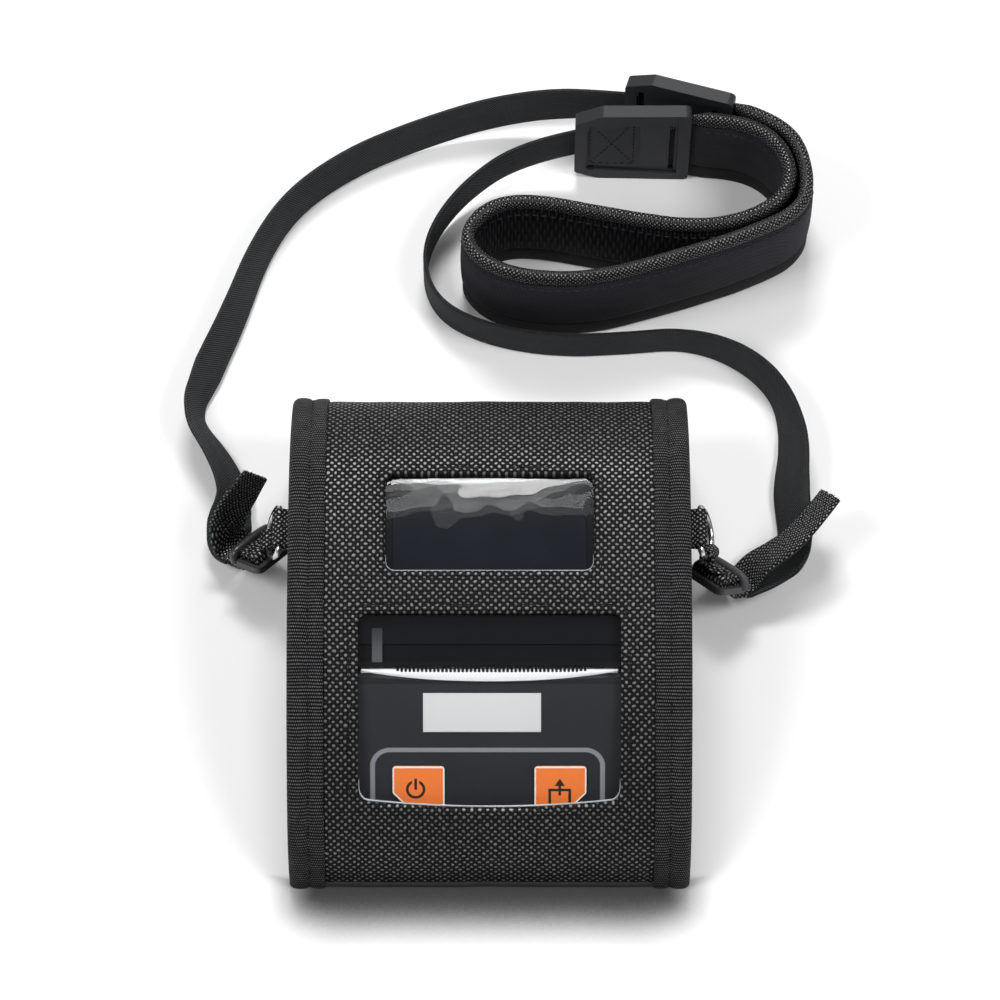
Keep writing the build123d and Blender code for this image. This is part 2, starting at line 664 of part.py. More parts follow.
def housing_screws():
    """Four screws from below into the upper housing."""
    screws = []
    for x, y in SCREW_PLACES:
        head = Pos(x, y, BASE_Z + 1.0) * Cylinder(2.2, 1.2)
        shank = Pos(x, y, (BASE_Z + 1.0 + SCREW_TOP) / 2) * Cylinder(SCREW_RADIUS, SCREW_TOP - BASE_Z - 1.0)
        screws.append(head + shank)
    return Compound(children=screws)


# Paper lid with the platen


PLATEN_EAR_X = PAPER_WIDTH / 2 + 1.85
PLATEN_EAR = 3.0
BUSH_RADIUS = 4.0


def paper_lid():
    """Lid with window rebate, front step, platen ears and hinge knuckles."""
    edge_y = EXIT_Y + LID_EDGE
    skin = printer_outline(0, PARTING_Z) - printer_outline(WALL, PARTING_Z - 0.5)
    rear = LID_PIN_Y - 0.4
    lid = prism_x(skin & rect(edge_y, PARTING_Z, rear, CASE_HEIGHT), -LID_HALF, LID_HALF)
    lid = lid & span((-CASE_HALF, NEAR_Y, LID_PIN_Z + 0.5), (CASE_HALF, FAR_Y, CASE_HEIGHT))
    step = printer_outline(0, PARTING_Z) - printer_outline(LID_STEP, PARTING_Z - 0.5)
    step = step & rect(EXIT_Y, PARTING_Z, EXIT_Y + LID_STEP_FROM_EXIT, CASE_HEIGHT)
    lid = lid - prism_x(step, -LID_HALF - 1, -36.4) - prism_x(step, -33.2, LID_HALF + 1)
    ledge = printer_outline(-1, PARTING_Z) - printer_outline(WALL / 2, PARTING_Z - 0.5)
    lid = lid - (prism_x(ledge, -LID_HALF, LID_HALF) & pane_block(0))
    lid = lid - pane_block(-WINDOW_LEDGE)
    ear = Pos(PLATEN_Y, PLATEN_Z) * Circle(BUSH_RADIUS + 2.0)
    ear = ear + rect(PLATEN_Y - 4.0, PLATEN_Z, PLATEN_Y + 9.0, CASE_HEIGHT)
    ear = ear & printer_outline(WALL / 2, PARTING_Z)
    ear = ear - Pos(PLATEN_Y, PLATEN_Z) * Circle(BUSH_RADIUS + RUNNING)
    barrel = Pos(LID_PIN_Y, LID_PIN_Z) * Circle(KNUCKLE_RADIUS)
    web = rect(LID_PIN_Y - 7.0, LID_PIN_Z, LID_PIN_Y - 0.4, CASE_HEIGHT)
    web = web & printer_outline(WALL / 2, PARTING_Z)
    barrel = barrel + web - Pos(LID_PIN_Y, LID_PIN_Z) * Circle(LID_PIN_RADIUS + RUNNING)
    for side in (-1, 1):
        ends = sorted((side * PLATEN_EAR_X, side * (PLATEN_EAR_X + PLATEN_EAR)))
        lid = lid + prism_x(ear, ends[0], ends[1])
        ends = sorted((side * (HINGE_EAR_X - 0.2), side * (HINGE_EAR_X + HINGE_EAR + 0.2)))
        lid = lid - prism_x(Pos(LID_PIN_Y, LID_PIN_Z) * Circle(KNUCKLE_RADIUS + 0.3), ends[0], ends[1])
        ends = sorted((side * (HINGE_EAR_X - 3.4), side * (HINGE_EAR_X - 0.2)))
        lid = lid + prism_x(barrel, ends[0], ends[1])
    return lid


def pane_block(grow):
    """Upright block over the lid's window, grown all round."""
    near = EXIT_Y + WINDOW_PANE_NEAR - grow
    far = EXIT_Y + WINDOW_PANE_FAR + grow
    half = WINDOW_PANE_HALF + grow
    plan = Pos(0, (near + far) / 2) * RectangleRounded(2 * half, far - near, 5.0 + grow)
    return prism_z(plan, LID_PIN_Z + 4, CASE_HEIGHT)


def lid_window():
    """Smoked pane resting on the lid's ledge and standing proud of it."""
    pane = printer_outline(-WINDOW_PANE_RAISE, PARTING_Z)
    pane = pane - printer_outline(WALL / 2 - RUNNING, PARTING_Z - 0.5)
    return prism_x(pane, -LID_HALF, LID_HALF) & pane_block(-0.15)


def lid_hinge_pin():
    """Steel pin through the hinge ears and the lid's knuckles."""
    return prism_x(Pos(LID_PIN_Y, LID_PIN_Z) * Circle(LID_PIN_RADIUS), -HINGE_PIN_HALF, HINGE_PIN_HALF)


def platen_roller():
    """Rubber sleeve that feeds the paper."""
    ring = Pos(PLATEN_Y, PLATEN_Z) * (Circle(PLATEN_RADIUS) - Circle(PLATEN_SHAFT_RADIUS))
    half = PAPER_WIDTH / 2 + 0.75
    return prism_x(ring, -half, half)


GEAR_LOW = PLATEN_EAR_X + PLATEN_EAR + 1.3
GEAR_FACE = 3.0


def platen_shaft():
    """Steel shaft through the roller, the bushes and the gear."""
    low = -(PLATEN_EAR_X + PLATEN_EAR + 0.8)
    return prism_x(Pos(PLATEN_Y, PLATEN_Z) * Circle(PLATEN_SHAFT_RADIUS), low, GEAR_LOW + GEAR_FACE)


def platen_bushes():
    """Two plain bushes in the lid's ears."""
    ring = Pos(PLATEN_Y, PLATEN_Z) * (Circle(BUSH_RADIUS) - Circle(PLATEN_SHAFT_RADIUS + RUNNING))
    right = prism_x(ring, PLATEN_EAR_X, PLATEN_EAR_X + PLATEN_EAR)
    return Compound(children=[right, mirrored(right)])


BLADE_THICK = 0.6
BLADE_HALF = 41.0
BLADE_REACH = 1.8
TOOTH_PITCH = 1.4
TOOTH_DEPTH = 1.0
TOOTH_COUNT = 42


def blade_plane():
    """Plane of the tear blade, level with the lid's front edge."""
    edge = EXIT_Y + LID_EDGE
    radius = FACE_RADIUS - PRINTER_INSET
    z = FACE_CENTRE[1] + math.sqrt(radius**2 - (edge - FACE_CENTRE[0]) ** 2)
    slope = math.asin((CREST_Y - edge) / radius)
    return Plane(origin=(0, edge, z + 0.05), x_dir=(1, 0, 0), z_dir=(0, -math.sin(slope), math.cos(slope)))


def tear_bar():
    """Blade on the lid's edge, serrated over the printed width."""
    teeth_half = TOOTH_COUNT * TOOTH_PITCH / 2
    points = [(-BLADE_HALF, 0.5), (-BLADE_HALF, -BLADE_REACH + 0.4), (-teeth_half, -BLADE_REACH + 0.4)]
    for tooth in range(TOOTH_COUNT):
        left = -teeth_half + tooth * TOOTH_PITCH
        points.append((left, -BLADE_REACH + TOOTH_DEPTH))
        points.append((left + TOOTH_PITCH / 2, -BLADE_REACH - 0.0))
    points.append((teeth_half, -BLADE_REACH + TOOTH_DEPTH))
    points.append((teeth_half, -BLADE_REACH + 0.4))
    points.append((BLADE_HALF, -BLADE_REACH + 0.4))
    points.append((BLADE_HALF, 0.5))
    outline = make_face(Polyline(*points, close=True))
    blade = extrude(blade_plane() * outline, amount=-BLADE_THICK)
    edge = EXIT_Y + LID_EDGE - 0.02
    return blade & span((-BLADE_HALF, NEAR_Y, 0), (BLADE_HALF, edge, CASE_HEIGHT))


# Print head, bracket, motor and gears

HEAD_FACE_Y = PLATEN_Y - PLATEN_RADIUS - 0.35
HEAD_THICK = 1.3
HEAD_LOW = 32.5
HEAD_HIGH = 42.5
SINK_THICK = 3.2
SINK_LOW = 30.2
BRACKET_Z = 27.5
BRACKET_SHEET = 1.2
BRACKET_HALF = 43.0
BRACKET_NEAR = EXIT_Y - 9.5
BRACKET_FAR = EXIT_Y + 1.5
BRACKET_POSTS = (-41.0, 26.0)
BRACKET_POST_Y = EXIT_Y - 3.0
PIVOT_Z = 31.4
PIVOT_Y = HEAD_FACE_Y - HEAD_THICK - SINK_THICK / 2
PIVOT_RADIUS = 1.0
SPRING_RADIUS = 2.2
SPRING_X = 25.0
SPRING_Z = 36.3
GEAR_MODULE = 0.6
PLATEN_TEETH = 20
IDLER_TEETH = 28
PINION_TEETH = 12
IDLER_LEAN = 5.4
PINION_TURN = 225.0
MOTOR_RADIUS = 9.0
MOTOR_LENGTH = 16.0
PLATE_SHEET = 0.8
MESH_GAP = 0.06


def gear_profile(teeth, bore):
    """Spur gear outline with straight-flanked teeth, one tooth on the local X axis."""
    pitch = GEAR_MODULE * teeth / 2
    tip = pitch + GEAR_MODULE * 0.9
    root = pitch - GEAR_MODULE * 1.15
    step = 2 * math.pi / teeth
    points = []
    for tooth in range(teeth):
        middle = tooth * step
        for radius, share in ((root, -0.34), (tip, -0.13), (tip, 0.13), (root, 0.34)):
            angle = middle + share * step
            points.append((radius * math.cos(angle), radius * math.sin(angle)))
    return make_face(Polyline(*points, close=True)) - Circle(bore)


def gear_solid(teeth, bore, place, phase):
    """Gear at a place in Y and Z, turned by a phase in degrees."""
    profile = Pos(*place) * (Rot(0, 0, phase) * gear_profile(teeth, bore))
    return prism_x(profile, GEAR_LOW, GEAR_LOW + GEAR_FACE)


def mesh_distance(first, second):
    return GEAR_MODULE * (first + second) / 2 + MESH_GAP


IDLER_ANGLE = 270.0 - IDLER_LEAN
IDLER_PLACE = (
    PLATEN_Y + mesh_distance(PLATEN_TEETH, IDLER_TEETH) * math.cos(math.radians(IDLER_ANGLE)),
    PLATEN_Z + mesh_distance(PLATEN_TEETH, IDLER_TEETH) * math.sin(math.radians(IDLER_ANGLE)),
)
PINION_PLACE = (
    IDLER_PLACE[0] + mesh_distance(IDLER_TEETH, PINION_TEETH) * math.cos(math.radians(PINION_TURN)),
    IDLER_PLACE[1] + mesh_distance(IDLER_TEETH, PINION_TEETH) * math.sin(math.radians(PINION_TURN)),
)
STUB_RADIUS = 2.0
MOTOR_SHAFT_RADIUS = 1.0


def platen_gear():
    """Gear on the platen shaft, a tooth pointing at the idler."""
    return gear_solid(PLATEN_TEETH, PLATEN_SHAFT_RADIUS, (PLATEN_Y, PLATEN_Z), IDLER_ANGLE)


def idler_gear():
    """Idler with a gap at the platen gear's tooth."""
    half = 180.0 / IDLER_TEETH
    return gear_solid(IDLER_TEETH, STUB_RADIUS + RUNNING, IDLER_PLACE, IDLER_ANGLE + 180.0 + half)


def motor_pinion():
    """Pinion on its shaft, phased to the idler's teeth on the line between both centres."""
    idler_phase = IDLER_ANGLE + 180.0 + 180.0 / IDLER_TEETH
    step = 360.0 / IDLER_TEETH
    offset_teeth = ((PINION_TURN - idler_phase) / step) % 1.0
    phase = PINION_TURN + 180.0 + (0.5 + offset_teeth) * 360.0 / PINION_TEETH
    gear = gear_solid(PINION_TEETH, MOTOR_SHAFT_RADIUS, PINION_PLACE, phase)
    shaft = Pos(*PINION_PLACE) * Circle(MOTOR_SHAFT_RADIUS)
    return gear + prism_x(shaft, GEAR_LOW - 0.3 - PLATE_SHEET - MOTOR_LENGTH, GEAR_LOW + GEAR_FACE)


def gear_plate():
    """Steel side plate with the idler's stub; the motor is screwed to it."""
    low = GEAR_LOW - 0.3 - PLATE_SHEET
    top = IDLER_PLACE[1] + 4.5
    plate = rect(PINION_PLACE[0] - MOTOR_RADIUS - 1, FLOOR_Z, IDLER_PLACE[0] + 6, top)
    plate = plate - Pos(*PINION_PLACE) * Circle(MOTOR_SHAFT_RADIUS + 1.0)
    stub = prism_x(Pos(*IDLER_PLACE) * Circle(STUB_RADIUS), low, GEAR_LOW + GEAR_FACE)
    return prism_x(plate, low, low + PLATE_SHEET) + stub


def motor():
    """Stepper motor behind the gear plate."""
    high = GEAR_LOW - 0.3 - PLATE_SHEET
    can = Pos(*PINION_PLACE) * (Circle(MOTOR_RADIUS) - Circle(MOTOR_SHAFT_RADIUS + RUNNING))
    return prism_x(can, high - MOTOR_LENGTH, high)


def print_head():
    """Ceramic strip with its heater line at the platen."""
    half = PAPER_WIDTH / 2 + 0.5
    return span((-half, HEAD_FACE_Y - HEAD_THICK, HEAD_LOW), (half, HEAD_FACE_Y, HEAD_HIGH))


def head_heat_sink():
    """Finned aluminium bar behind the print head, bored for its pivot."""
    half = PAPER_WIDTH / 2 + 1.0
    back = HEAD_FACE_Y - HEAD_THICK
    profile = rect(back - SINK_THICK, SINK_LOW, back, HEAD_HIGH)
    profile = profile - Pos(PIVOT_Y, PIVOT_Z) * Circle(PIVOT_RADIUS + RUNNING)
    for slot in range(3):
        z = SPRING_Z - 3.4 + 3.4 * slot
        if abs(z - SPRING_Z) > 1:
            profile = profile - rect(back - SINK_THICK, z - 0.5, back - SINK_THICK + 1.4, z + 0.5)
    return prism_x(profile, -half, half)


def head_pivot_pin():
    """Pin through the heat sink into the bracket's ears."""
    return prism_x(Pos(PIVOT_Y, PIVOT_Z) * Circle(PIVOT_RADIUS), -BRACKET_HALF, BRACKET_HALF)


def head_bracket():
    """Folded sheet that holds the head's pivot and springs."""
    plate = rect(BRACKET_NEAR, BRACKET_Z, BRACKET_FAR, BRACKET_Z + BRACKET_SHEET)
    back = rect(BRACKET_NEAR, BRACKET_Z, BRACKET_NEAR + BRACKET_SHEET, SPRING_Z + 2.3)
    sheet = prism_x(plate + back, -BRACKET_HALF, BRACKET_HALF)
    ear = rect(BRACKET_NEAR, BRACKET_Z, BRACKET_FAR, PIVOT_Z + 3.0)
    ear = ear - Pos(PIVOT_Y, PIVOT_Z) * Circle(PIVOT_RADIUS + RUNNING)
    for side in (-1, 1):
        ends = sorted((side * (BRACKET_HALF - BRACKET_SHEET), side * BRACKET_HALF))
        sheet = sheet + prism_x(ear, ends[0], ends[1])
    return sheet


def head_springs():
    """Two springs between bracket and heat sink, as sleeves of their outer form."""
    low = BRACKET_NEAR + BRACKET_SHEET
    high = HEAD_FACE_Y - HEAD_THICK - SINK_THICK
    springs = []
    for side in (-1, 1):
        ring = Pos(side * SPRING_X, SPRING_Z) * (Circle(SPRING_RADIUS) - Circle(SPRING_RADIUS - 0.6))
        springs.append(prism_y(ring, low, high))
    return Compound(children=springs)


# Paper


def paper_roll():
    """Wound paper, bored for its core."""
    ring = Pos(ROLL_Y, ROLL_Z) * (Circle(ROLL_RADIUS) - Circle(CORE_DIAMETER / 2))
    return prism_x(ring, -PAPER_WIDTH / 2, PAPER_WIDTH / 2)


def paper_core():
    """Cardboard core of the roll."""
    ring = Pos(ROLL_Y, ROLL_Z) * (Circle(CORE_DIAMETER / 2) - Circle(CORE_DIAMETER / 2 - CORE_WALL))
    return prism_x(ring, -PAPER_WIDTH / 2, PAPER_WIDTH / 2)


def lower_tangent(gap):
    """Points where the paper leaves the roll and reaches the platen, a gap off both."""
    du = (PLATEN_Y - ROLL_Y, PLATEN_Z - ROLL_Z)
    length = math.hypot(*du)
    u = (du[0] / length, du[1] / length)
    v = (u[1] * -1.0, u[0])
    if v[1] > 0:
        v = (-v[0], -v[1])
    sine = (ROLL_RADIUS - PLATEN_RADIUS) / length
    cosine = math.sqrt(1 - sine**2)
    n = (sine * u[0] + cosine * v[0], sine * u[1] + cosine * v[1])
    roll = (ROLL_Y + (ROLL_RADIUS + gap) * n[0], ROLL_Z + (ROLL_RADIUS + gap) * n[1])
    platen = (PLATEN_Y + (PLATEN_RADIUS + gap) * n[0], PLATEN_Z + (PLATEN_RADIUS + gap) * n[1])
    return roll, platen


def strip_face(points, radii, thick):
    """A flat strip of even thickness along a path of runs and tangent arcs."""
    sides = ([], [])
    side_radii = ([], [])
    count = len(points)
    headings = []
    for i in range(count - 1):
        dx = points[i + 1][0] - points[i][0]
        dy = points[i + 1][1] - points[i][1]
        length = math.hypot(dx, dy)
        headings.append((dx / length, dy / length))
    for i in range(count):
        before = headings[max(i - 1, 0)]
        after = headings[min(i, count - 2)]
        bisector = (before[0] + after[0], before[1] + after[1])
        size = math.hypot(*bisector)
        bisector = (bisector[0] / size, bisector[1] / size)
        stretch = bisector[0] * after[0] + bisector[1] * after[1]
        normal = (-bisector[1] / stretch, bisector[0] / stretch)
        turn = before[0] * after[1] - before[1] * after[0]
        for k, sign in ((0, 1), (1, -1)):
            reach = sign * thick / 2
            sides[k].append((points[i][0] + normal[0] * reach, points[i][1] + normal[1] * reach))
            if 0 < i < count - 1:
                inside = sign * (1 if turn > 0 else -1)
                side_radii[k].append(radii[i - 1] - inside * thick / 2)
    left = FilletPolyline(*sides[0], radius=side_radii[0])
    right = FilletPolyline(*sides[1], radius=side_radii[1])
    ends = [Line(sides[0][0], sides[1][0]), Line(sides[0][-1], sides[1][-1])]
    return make_face(Curve() + [left, right] + ends)


def paper_web():
    """Paper from the roll round the platen, past the head and out over the rim."""
    gap = 0.05 + PAPER_THICK / 2
    start, touch = lower_tangent(gap)
    end_y = EXIT_Y - SCOOP_SIDE + 0.8
    rise = math.sqrt((FACE_RADIUS - PRINTER_INSET) ** 2 - (end_y - FACE_CENTRE[0]) ** 2)
    end_z = FACE_CENTRE[1] + rise + 0.3
    nip = PLATEN_Y - PLATEN_RADIUS - gap
    slope = (touch[1] - start[1]) / (touch[0] - start[0])
    corner = (nip, start[1] + slope * (nip - start[0]))
    points = [start, corner, (nip - 0.02, HEAD_HIGH + 0.6), (end_y, end_z)]
    face = strip_face(points, [PLATEN_RADIUS + gap, 2.0], PAPER_THICK)
    return prism_x(face, -PAPER_WIDTH / 2, PAPER_WIDTH / 2)


# Shoulder strap: every route is a list of chosen points, followed by straight runs and arcs


def route_radii(points):
    """Largest arcs that the runs allow at each corner of a route."""
    radii = []
    for i in range(1, len(points) - 1):
        before = Vector(*points[i]) - Vector(*points[i - 1])
        after = Vector(*points[i + 1]) - Vector(*points[i])
        turn = math.radians(before.get_angle(after))
        radii.append(0.45 * min(before.length, after.length) / math.tan(turn / 2))
    return radii


def route_path(name, points):
    """Runs and tangent arcs through a route, with its length and radii printed."""
    radii = route_radii(points)
    path = FilletPolyline(*points, radius=radii)
    print(name, "length", round(path.length, 1), "radii", [round(r, 1) for r in radii])
    return path


def leans_along(points, leans, path, share):
    """The width direction at a share of the path, blended between route points."""
    marks = [0.0]
    for i in range(1, len(points)):
        marks.append(marks[-1] + (Vector(*points[i]) - Vector(*points[i - 1])).length)
    place = share * marks[-1]
    for i in range(1, len(points)):
        if place <= marks[i] or i == len(points) - 1:
            blend = (place - marks[i - 1]) / (marks[i] - marks[i - 1])
            low = Vector(*leans[i - 1])
            high = Vector(*leans[i])
            return low + (high - low) * min(max(blend, 0), 1)
    return Vector(*leans[-1])


def ribbon(name, points, leans, section, spacing):
    """A strap: a section drawn in width and thickness, carried along a route."""
    path = route_path(name, points)
    count = max(4, round(path.length / spacing))
    stations = []
    for i in range(count + 1):
        share = i / count
        along = path.tangent_at(share)
        wide = leans_along(points, leans, path, share)
        wide = (wide - along * wide.dot(along)).normalized()
        stations.append(Plane(origin=path.position_at(share), x_dir=wide, z_dir=along) * section)
    return loft(stations, ruled=True)


UP = (0.0, 0.0, 1.0)

# Left slider: centre, direction of its bars, direction of the webbing through it
LEFT_SLIDER = ((-72.6, 32.6, 13.0), (-0.610, -0.707, 0.365), (0.790, -0.489, 0.372))
RIGHT_SLIDER = ((72.1, 22.8, 13.8), (-0.595, 0.658, -0.466), (-0.783, -0.332, 0.532))
SLIDER_LENGTH = 19.0
SLIDER_WIDTH = 12.4
SLIDER_THICK = 2.2
SLOT_LENGTH = 15.8
SLOT_WIDTH = 3.5
SLOT_OFFSET = 2.75
THREAD_REACH = 9.2
TONGUE_LIFT = 0.6

LEFT_WEB = [
    (45.4, 193.7, 20.5),
    (25.0, 197.3, 16.0),
    (0.0, 196.2, 11.0),
    (-25.0, 188.8, 8.0),
    (-47.0, 178.5, 7.9),
    (-66.0, 163.5, 7.8),
    (-77.0, 144.5, 7.8),
    (-84.5, 121.0, 7.8),
    (-93.0, 99.0, 7.8),
    (-95.8, 86.5, 7.8),
    (-87.5, 66.5, 7.0),
    (-83.5, 54.5, 6.5),
    (-87.2, 45.5, 4.7),
    (-85.6, 38.6, 3.8),
    (-80.2, 35.7, 6.2),
]
LEFT_WEB_LEANS = [
    UP,
    (0.05, 0.15, 0.97),
    (0.0, 0.2, 0.97),
    (-0.08, 0.2, 0.96),
    (-0.12, 0.2, 0.96),
    (-0.2, 0.15, 0.95),
    (-0.25, 0.1, 0.95),
    (-0.3, 0.08, 0.95),
    (-0.25, 0.0, 0.95),
    (-0.05, -0.38, 0.92),
    (-0.4, -0.45, 0.8),
    (-0.55, -0.4, 0.66),
    (-0.75, -0.6, 0.12),
    (-0.61, -0.77, 0.12),
    (-0.61, -0.707, 0.365),
]
LEFT_TAIL = [
    (-80.3, 36.4, 7.5),
    (-83.0, 38.1, 6.9),
    (-84.8, 39.8, 12.0),
    (-84.2, 43.8, 14.2),
    (-81.0, 48.4, 18.4),
    (-75.2, 55.4, 23.0),
]
LEFT_TAIL_LEANS = [
    (-0.61, -0.707, 0.365),
    (-0.62, -0.66, 0.42),
    (-0.65, -0.5, 0.57),
    (-0.75, -0.4, 0.53),
    (-0.6, -0.22, 0.77),
    (-0.31, -0.09, 0.95),
]
RIGHT_WEB = [
    (28.2, 179.2, 20.5),
    (10.0, 177.5, 15.8),
    (-8.0, 166.5, 11.0),
    (-19.5, 151.5, 8.2),
    (-22.5, 136.5, 7.8),
    (-16.5, 122.0, 7.8),
    (0.0, 113.5, 7.8),
    (22.0, 109.6, 7.8),
    (44.0, 110.5, 7.8),
    (64.0, 112.5, 7.8),
    (82.0, 106.5, 7.8),
    (95.0, 94.0, 7.7),
    (99.5, 76.0, 6.9),
    (97.5, 58.0, 6.4),
    (99.0, 42.0, 6.5),
    (97.8, 31.0, 6.8),
    (90.0, 27.0, 6.0),
    (81.6, 24.8, 4.6),
    (79.2, 23.7, 6.0),
]
RIGHT_WEB_LEANS = [
    UP,
    UP,
    UP,
    UP,
    UP,
    UP,
    UP,
    UP,
    UP,
    UP,
    (0.1, 0.1, 0.98),
    (0.2, 0.15, 0.95),
    (0.55, -0.1, 0.8),
    (0.7, -0.3, 0.65),
    (0.65, -0.3, 0.68),
    (0.5, -0.4, 0.75),
    (0.5, -0.6, 0.62),
    (0.595, -0.658, 0.466),
    (0.595, -0.658, 0.466),
]
RIGHT_TAIL = [
    (79.5, 24.7, 7.0),
    (81.6, 25.7, 6.2),
    (84.6, 29.2, 8.4),
    (89.0, 31.8, 11.0),
    (99.0, 36.6, 16.0),
    (109.4, 49.0, 21.5),
]
RIGHT_TAIL_LEANS = [
    (0.595, -0.658, 0.466),
    (0.5, -0.68, 0.5),
    (0.4, -0.72, 0.56),
    (0.24, -0.74, 0.62),
    (0.24, -0.71, 0.67),
    (0.47, -0.37, 0.8),
]
PAD_Z = PAD_WIDTH / 2 + FLOOR_GAP
PAD_PLAN = [
    (80.9, 182.65),
    (97.0, 177.5),
    (104.4, 161.0),
    (103.0, 145.5),
    (86.0, 136.0),
    (58.0, 126.2),
    (30.0, 118.2),
    (3.0, 121.0),
    (-9.5, 133.0),
    (-2.0, 145.0),
    (12.0, 148.5),
    (40.0, 142.5),
    (68.0, 137.5),
    (88.0, 142.5),
    (98.3, 152.0),
    (98.3, 164.5),
    (90.0, 174.5),
    (77.0, 178.3),
    (66.9, 178.4),
]


def webbing_section():
    return Rectangle(WEBBING, WEBBING_THICK)


def pad_section():
    """Pad in width and thickness: bound edges, a crown and a flat back."""
    w = PAD_WIDTH / 2
    e = PAD_EDGE / 2
    t = PAD_THICK / 2
    points = [(-w, -e), (-w + 5, -e), (-w + 7, -t), (w - 7, -t), (w - 5, -e), (w, -e)]
    points = points + [(x, -y) for x, y in reversed(points)]
    return make_face(Polyline(*points, close=True))


def shoulder_pad():
    """Padded section, on edge and doubled back on itself."""
    points = [(x, y, PAD_Z) for x, y in PAD_PLAN]
    return ribbon("shoulder_pad", points, [UP] * len(points), pad_section(), 7.0)


def slider_frame(slider):
    """Plane of a slider: its X along the bars, its Y along the webbing."""
    centre, bar, along = slider
    bar = Vector(*bar).normalized()
    along = Vector(*along)
    along = (along - bar * along.dot(bar)).normalized()
    return Plane(origin=centre, x_dir=bar, z_dir=bar.cross(along))


def slider_plate(slider):
    """Flat buckle with two slots and a middle bar."""
    plan = RectangleRounded(SLIDER_LENGTH, SLIDER_WIDTH, 2.5)
    for side in (-1, 1):
        plan = plan - Pos(0, side * SLOT_OFFSET) * Rectangle(SLOT_LENGTH, SLOT_WIDTH)
    frame = slider_frame(slider)
    return extrude(frame.offset(-SLIDER_THICK / 2) * plan, amount=SLIDER_THICK)


def strap_loop(slider, side, bow_angle):
    """Doubled webbing through a slider and round the D-ring's bow.

    side is 1 or -1, the case's side; bow_angle turns along the bow from its
    lowest point towards the near end.
    """
    frame = slider_frame(slider)
    double = 2 * WEBBING_THICK + 0.1
    level = SLIDER_THICK / 2 + SEAT_GAP + double / 2
    path = [
        (-THREAD_REACH, -level),
        (-SLOT_OFFSET, -level),
        (-SLOT_OFFSET, level),
        (SLOT_OFFSET, level),
        (SLOT_OFFSET, -SLIDER_THICK / 2),
    ]
    profile = strip_outline(path, double)
    flat = Plane(origin=frame.origin - frame.x_dir * WEBBING / 2, x_dir=frame.y_dir, z_dir=frame.x_dir)
    thread = extrude(flat * profile, amount=WEBBING)
    turn = math.radians(bow_angle)
    droop = math.radians(RING_DROOP)
    reach = RING_LEG + RING_HALF * math.cos(turn)
    bow_x = side * (RING_X + reach * math.cos(droop))
    bow = Vector(bow_x, RING_Y - RING_HALF * math.sin(turn), RING_Z - reach * math.sin(droop))
    wire = Vector(side * math.sin(turn) * math.cos(droop), math.cos(turn), -math.sin(turn) * math.sin(droop))
    across = Plane(origin=bow - wire * 3.5, z_dir=wire)
    eye = extrude(across * Circle(RING_WIRE + 0.3 + WEBBING_THICK), amount=7.0)
    start = frame.origin + frame.y_dir * 0.5 + frame.z_dir * (level + TONGUE_LIFT)
    along = (bow - start).normalized()
    stations = []
    for point, wide, size in ((start, frame.x_dir, 12.0), (bow, wire, 7.0)):
        wide = (wide - along * wide.dot(along)).normalized()
        stations.append(Plane(origin=point, x_dir=wide, z_dir=along) * Rectangle(size, double))
    tongue = loft(stations, ruled=True)
    ring = d_ring(RING_WIRE + 0.3)
    if side < 0:
        ring = mirrored(ring)
    return thread + tongue + eye - ring


def strip_outline(points, thick):
    """A strip of even thickness along a path with square corners."""
    sides = ([], [])
    for i, point in enumerate(points):
        before = Vector(*points[max(i, 1)]) - Vector(*points[max(i, 1) - 1])
        last = min(i, len(points) - 2)
        after = Vector(*points[last + 1]) - Vector(*points[last])
        before = before.normalized()
        after = after.normalized()
        bisector = (before + after).normalized()
        stretch = bisector.dot(after)
        normal = Vector(-bisector.Y, bisector.X) * (thick / 2 / stretch)
        sides[0].append((point[0] + normal.X, point[1] + normal.Y))
        sides[1].append((point[0] - normal.X, point[1] - normal.Y))
    return make_face(Polyline(*(sides[0] + sides[1][::-1]), close=True))


FITTING_LENGTH = 37.0
FITTING_WEB_END = 37.0
FITTING_PAD_END = 44.5
FITTING_THICK = 4.4
FAR_FITTING = ((45.4, 193.7), (80.4, 182.8))
NEAR_FITTING = ((28.2, 179.2), (66.4, 178.4))


def pad_fitting(ends):
    """Moulded end of the pad: tapered frame with two slots and a recessed face."""
    (x0, y0), (x1, y1) = ends
    length = math.hypot(x1 - x0, y1 - y0)
    heading = Vector((x1 - x0) / length, (y1 - y0) / length, 0)
    middle_z = PAD_Z + 0.4
    low = FITTING_WEB_END / 2
    high = FITTING_PAD_END / 2
    base = FLOOR_GAP - middle_z
    corners = [
        (0, base + 3.5),
        (8, base),
        (length, base),
        (length, high),
        (9, high - 1.2),
        (0, low - 3),
    ]
    outline = make_face(Polyline(*corners, close=True))
    outline = fillet(outline.vertices(), 2.0)
    corners = [
        (4, base + 6),
        (length - 4, base + 4),
        (length - 4, high - 4),
        (4, low - 6.5),
    ]
    recess = make_face(Polyline(*corners, close=True))
    plane = Plane(origin=(x0, y0, middle_z), x_dir=heading, z_dir=(heading.Y, -heading.X, 0))
    body = extrude(plane.offset(-FITTING_THICK / 2) * outline, amount=FITTING_THICK)
    for level in (-FITTING_THICK / 2, FITTING_THICK / 2 - 0.8):
        body = body - extrude(plane.offset(level) * recess, amount=0.8)
    for x in (5.6, length - 6.0):
        slot = Pos(x, 0) * Rectangle(1.8, 29)
        body = body - extrude(plane.offset(-FITTING_THICK) * slot, amount=2 * FITTING_THICK)
    pocket = Pos(1.5, 20.5 - middle_z) * Rectangle(3.0 + 0.001, WEBBING + 0.6)
    return body - extrude(plane.offset(-WEBBING_THICK / 2 - 0.3) * pocket, amount=WEBBING_THICK + 0.6)


